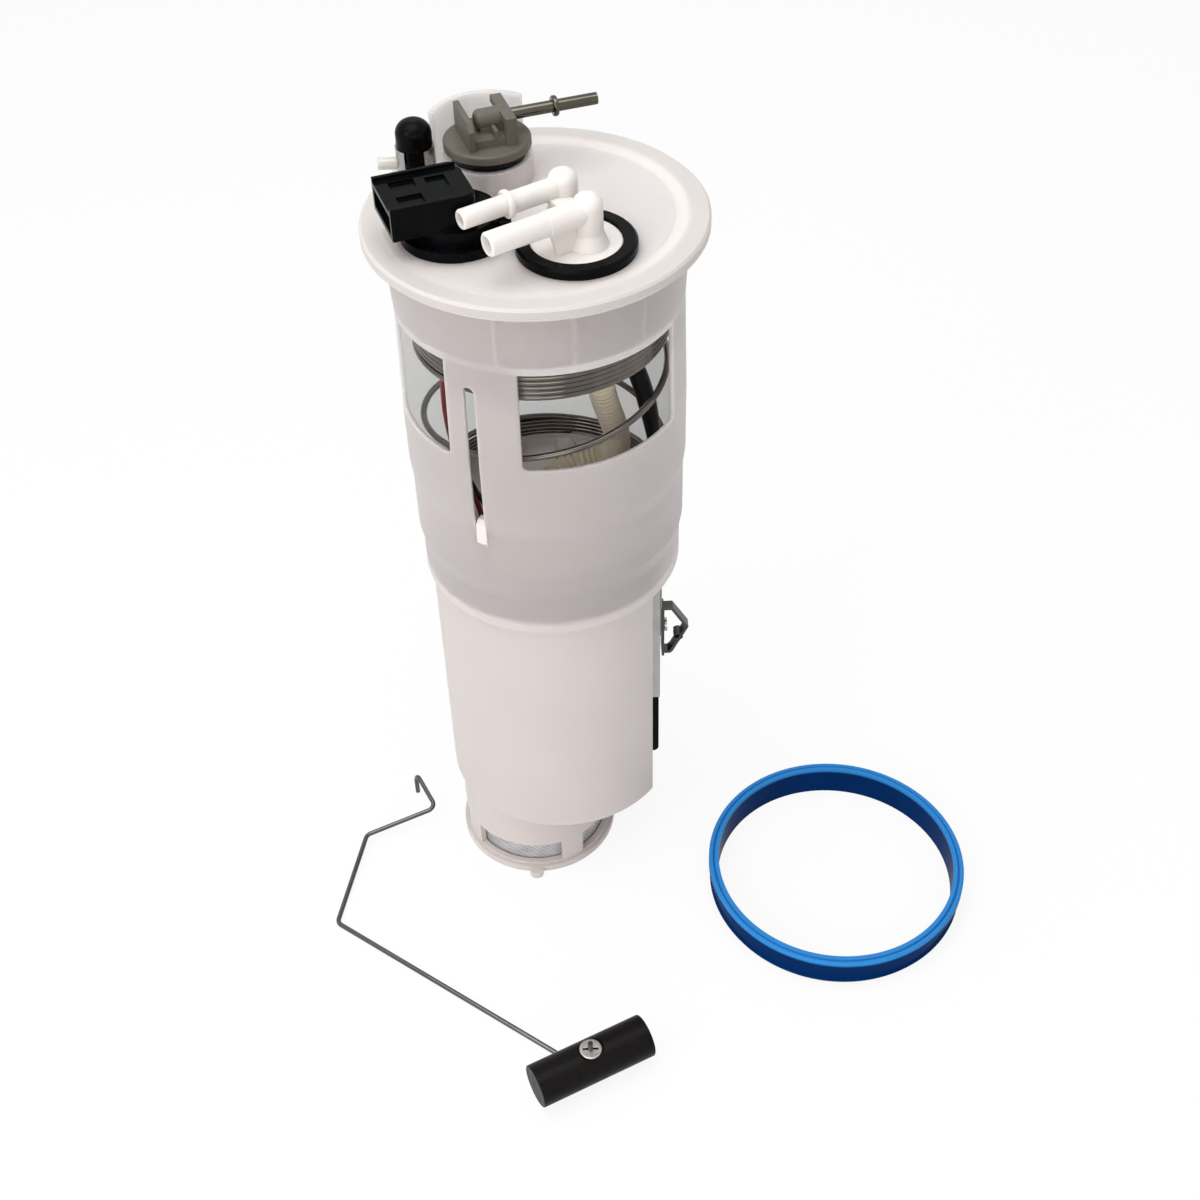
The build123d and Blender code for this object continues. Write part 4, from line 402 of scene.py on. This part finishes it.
# Light and dark colour of each plain finish, and what else it has of its own
LOOKS = {
    "white_backed": dict(
        light=(0.64, 0.595, 0.578), dark=(0.62, 0.575, 0.558), grain=22, rough=(0.36, 0.46), bump=0.03,
        Subsurface_Weight=0.7, Subsurface_Radius=(1.0, 0.9, 0.85), Subsurface_Scale=0.002),
    # Lighter copy of the backed white: painted light on the port cap
    "white_cap_painted_bright": dict(
        light=(0.82, 0.785, 0.76), dark=(0.80, 0.765, 0.74), grain=22, rough=(0.36, 0.46), bump=0.03,
        Subsurface_Weight=0.8, Subsurface_Radius=(1.0, 0.95, 0.9), Subsurface_Scale=0.003),
    # Lighter copy of the backed white: painted light on the inner cover and filter can
    "white_painted_bright": dict(
        light=(0.82, 0.78, 0.755), dark=(0.80, 0.76, 0.735), grain=22, rough=(0.4, 0.5), bump=0.03,
        Subsurface_Weight=0.4, Subsurface_Radius=(1.0, 0.95, 0.9), Subsurface_Scale=0.001),
    "clear_nylon": dict(
        light=(0.88, 0.86, 0.80), dark=(0.80, 0.78, 0.72), grain=60, rough=(0.2, 0.32), Transmission_Weight=0.35,
        Subsurface_Weight=0.3, Subsurface_Radius=(1.0, 0.9, 0.8), Subsurface_Scale=0.004),
    "black_nylon": dict(
        light=(0.0035, 0.0042, 0.005), dark=(0.002, 0.0022, 0.0026), grain=120, rough=(0.14, 0.22), bump=0.05,
        Specular_IOR_Level=0.04),
    "taupe_nylon": dict(
        light=(0.130, 0.118, 0.096), dark=(0.100, 0.090, 0.073), grain=70, rough=(0.42, 0.56), bump=0.12,
        Specular_IOR_Level=0.3),
    "grey_acetal": dict(light=(0.42, 0.42, 0.43), dark=(0.36, 0.36, 0.37), rough=(0.4, 0.5)),
    "black_rubber": dict(
        light=(0.0035, 0.0035, 0.0035), dark=(0.002, 0.002, 0.002), grain=150, rough=(0.2, 0.3),
        Specular_IOR_Level=0.05),
    "plated_steel": dict(
        light=(0.47, 0.46, 0.44), dark=(0.35, 0.34, 0.33), grain=60, rough=(0.22, 0.36), metal=1.0, bump=0.05),
    "dark_steel": dict(
        light=(0.10, 0.095, 0.095), dark=(0.06, 0.058, 0.058), rough=(0.3, 0.42), metal=1.0, bump=0.08),
    "gunmetal_tube": dict(
        light=(0.115, 0.108, 0.084), dark=(0.085, 0.080, 0.062), grain=60, rough=(0.09, 0.15), metal=1.0, bump=0.04,
        edge=0),
    "bright_wire": dict(
        light=(0.125, 0.125, 0.118), dark=(0.095, 0.095, 0.09), grain=70, rough=(0.07, 0.13), metal=1.0, bump=0.05,
        edge=0),
    "spring_wire": dict(
        light=(0.15, 0.132, 0.12), dark=(0.105, 0.092, 0.084), grain=70, rough=(0.1, 0.17), metal=1.0, edge=0),
    "tinned_brass": dict(light=(0.70, 0.64, 0.48), dark=(0.58, 0.52, 0.38), rough=(0.25, 0.35), metal=1.0),
    "armature_steel": dict(light=(0.42, 0.34, 0.28), dark=(0.30, 0.26, 0.23), metal=0.9),
    "magnet_ferrite": dict(light=(0.075, 0.075, 0.08), dark=(0.05, 0.05, 0.055), rough=(0.6, 0.75)),
    "cream_hose": dict(
        light=(0.95, 0.90, 0.73), dark=(0.91, 0.85, 0.66), grain=50, rough=(0.38, 0.5), bump=0.05, edge=0),
    "harness_sleeve": dict(
        light=(0.005, 0.005, 0.006), dark=(0.003, 0.003, 0.0035), grain=140, rough=(0.25, 0.38), bump=0.1, edge=0,
        Specular_IOR_Level=0.15),
    "red_lead": dict(light=(0.22, 0.018, 0.018), dark=(0.15, 0.012, 0.012), grain=120, rough=(0.3, 0.42), edge=0),
    "filter_paper": dict(
        light=(0.66, 0.55, 0.36), dark=(0.58, 0.47, 0.30), grain=300, rough=(0.8, 0.95), bump=0.4),
    "ceramic_card": dict(light=(0.22, 0.25, 0.22), dark=(0.16, 0.18, 0.16), rough=(0.4, 0.6)),
    "black_foam": dict(
        light=(0.0055, 0.0045, 0.0042), dark=(0.003, 0.0025, 0.0023), grain=220, rough=(0.34, 0.46), bump=0.2,
        bump_grain=1600, Specular_IOR_Level=0.1),
}


def make_finishes():
    """One finish for each material slot of the record, and the three backed whites."""
    finishes = {name: finish(name, **look) for name, look in LOOKS.items()}
    for name, maker in (("white_acetal", housing_white), ("blue_rubber", seal_rubber), ("screen_mesh", mesh_cloth)):
        finishes[name] = maker(name)
    return finishes


def smooth(piece):
    """Smooth shading with sharp creases kept."""
    piece.data.shade_smooth()
    split = piece.modifiers.new("creases", "EDGE_SPLIT")
    split.split_angle = math.radians(CREASE_DEG)


def dress_nodes(finishes):
    """Gives every CAD node its finish and smooth shading up to a crease angle."""
    for entry in frame["record"]["subparts"]:
        node = frame["nodes"][entry["node"]]
        look = BACKED_WHITE.get(entry["node"], entry["material_slot"])
        node.data.materials.clear()
        node.data.materials.append(finishes[look])
        smooth(node)


def new_piece(name, points, faces, material):
    """Mesh object from points in millimetres."""
    mesh = bpy.data.meshes.new(name)
    mesh.from_pydata([Vector(p) * MM for p in points], [], faces)
    mesh.update()
    mesh.shade_smooth()
    piece = bpy.data.objects.new(name, mesh)
    bpy.context.scene.collection.objects.link(piece)
    mesh.materials.append(material)
    return piece


def tube_mesh(name, line, radius_at, sides, material):
    """Round tube along a line of points, with a radius for each point and closed ends."""
    points = []
    faces = []
    last = len(line) - 1
    across = (line[1] - line[0]).normalized().orthogonal().normalized()
    for index, spot in enumerate(line):
        ahead = line[min(index + 1, last)] - line[max(index - 1, 0)]
        ahead.normalize()
        across = (across - ahead * across.dot(ahead)).normalized()
        side = ahead.cross(across)
        radius = radius_at(index)
        for k in range(sides):
            angle = 2 * math.pi * k / sides
            points.append(spot + (across * math.cos(angle) + side * math.sin(angle)) * radius)
    for index in range(last):
        for k in range(sides):
            a = index * sides + k
            b = index * sides + (k + 1) % sides
            faces.append((a, b, b + sides, a + sides))
    faces.append(tuple(reversed(range(sides))))
    faces.append(tuple(range(last * sides, (last + 1) * sides)))
    return new_piece(name, points, faces, material)


def spline_points(route):
    """Points along a smooth spline with the route's points as its control points, in millimetres."""
    curve = bpy.data.curves.new("route", "CURVE")
    curve.dimensions = "3D"
    spline = curve.splines.new("NURBS")
    spline.points.add(len(route) - 1)
    for point, spot in zip(spline.points, route):
        point.co = (*spot, 1)
    spline.order_u = SPLINE_ORDER
    spline.use_endpoint_u = True
    spline.resolution_u = SPLINE_RESOLUTION
    holder = bpy.data.objects.new("route", curve)
    mesh = bpy.data.meshes.new_from_object(holder)
    line = [v.co.copy() for v in mesh.vertices]
    bpy.data.objects.remove(holder)
    bpy.data.curves.remove(curve)
    bpy.data.meshes.remove(mesh)
    return line


def even_points(line, step):
    """The same line with points an even step apart."""
    spots = [line[0]]
    left = step
    for a, b in zip(line, line[1:]):
        run = (b - a).length
        start = 0.0
        while run - start >= left:
            start += left
            spots.append(a.lerp(b, start / run))
            left = step
        left -= run - start
    spots.append(line[-1])
    return spots


def spring(finishes):
    """Round wire coil with close turns at both ends."""
    low = COVER_TOP + SPRING_GAP + SPRING_WIRE / 2
    high = SEAT_LEVEL - SPRING_GAP - SPRING_WIRE / 2
    pack_top = low + (SPRING_BOTTOM_TURNS - 1) * SPRING_WIRE
    pack_bottom = high - (SPRING_TOP_TURNS - 1) * SPRING_WIRE
    opening = SPRING_BOTTOM_TURNS + SPRING_OPEN_TURNS
    turns = opening + SPRING_TOP_TURNS
    start_deg = SPRING_START_DEG - 360 * SPRING_BOTTOM_TURNS
    line = []
    for index in range(int(turns * SPRING_STEPS) + 1):
        turn = index / SPRING_STEPS
        if turn <= SPRING_BOTTOM_TURNS:
            z = low + (pack_top - low) * turn / SPRING_BOTTOM_TURNS
        elif turn >= opening:
            z = pack_bottom + (high - pack_bottom) * (turn - opening) / SPRING_TOP_TURNS
        else:
            share = (turn - SPRING_BOTTOM_TURNS) / SPRING_OPEN_TURNS
            eased = share - math.sin(2 * math.pi * share) / (2 * math.pi) * SPRING_EASE
            z = pack_top + (pack_bottom - pack_top) * eased
        angle = math.radians(start_deg + 360 * turn)
        line.append(Vector((SPRING_RADIUS * math.cos(angle), SPRING_RADIUS * math.sin(angle), z)))
    coil = tube_mesh("spring_coil", line, lambda i: SPRING_WIRE / 2, SPRING_SIDES, finishes["spring_wire"])
    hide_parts("compression_spring")
    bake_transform(coil)


def hose(finishes):
    """Corrugated hose with a plain cuff at each end."""
    line = even_points(spline_points(HOSE_ROUTE), HOSE_STEP)
    length = HOSE_STEP * len(line)

    def radius_at(index):
        along = index * HOSE_STEP
        if along < HOSE_CUFF or along > length - HOSE_CUFF:
            return HOSE_CUFF_RADIUS
        wave = HOSE_SQUARENESS * math.sin(2 * math.pi * along / HOSE_PITCH)
        return HOSE_RADIUS + HOSE_RIPPLE * min(1.0, max(-1.0, wave))

    piece = tube_mesh("hose_corrugated", line, radius_at, HOSE_SIDES, finishes["cream_hose"])
    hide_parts("fuel_hose")
    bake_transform(piece)


def wire(finishes, name, node, slot, route, radius):
    """Smooth lead held at both ends, with a radius for each height."""
    line = even_points(spline_points(route), WIRE_STEP)
    piece = tube_mesh(name, line, lambda i: radius(line[i].z), WIRE_SIDES, finishes[slot])
    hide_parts(node)
    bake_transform(piece)


def harness_radius(z):
    """Half the harness's thickness: slim past the spring's lower turns, full in the cage."""
    low, high = HARNESS_SWELLS
    share = min(1.0, max(0.0, (z - low) / (high - low)))
    return HARNESS_SLIM + (HARNESS_FULL - HARNESS_SLIM) * share


def wires(finishes):
    """Sender harness and the two pump leads."""
    wire(finishes, "harness_lead", "sender_harness", "harness_sleeve", HARNESS_ROUTE, harness_radius)
    for name, node, slot, shift in LEADS:
        route = [(x, y + shift, z) for x, y, z in LEAD_UPPER_RUN]
        route += [(x + shift, y, z) for x, y, z in LEAD_LOWER_RUN]
        wire(finishes, name, node, slot, route, lambda z: LEAD_RADIUS)


place_camera()
studio()
FINISHES = make_finishes()
dress_nodes(FINISHES)
spring(FINISHES)
hose(FINISHES)
wires(FINISHES)
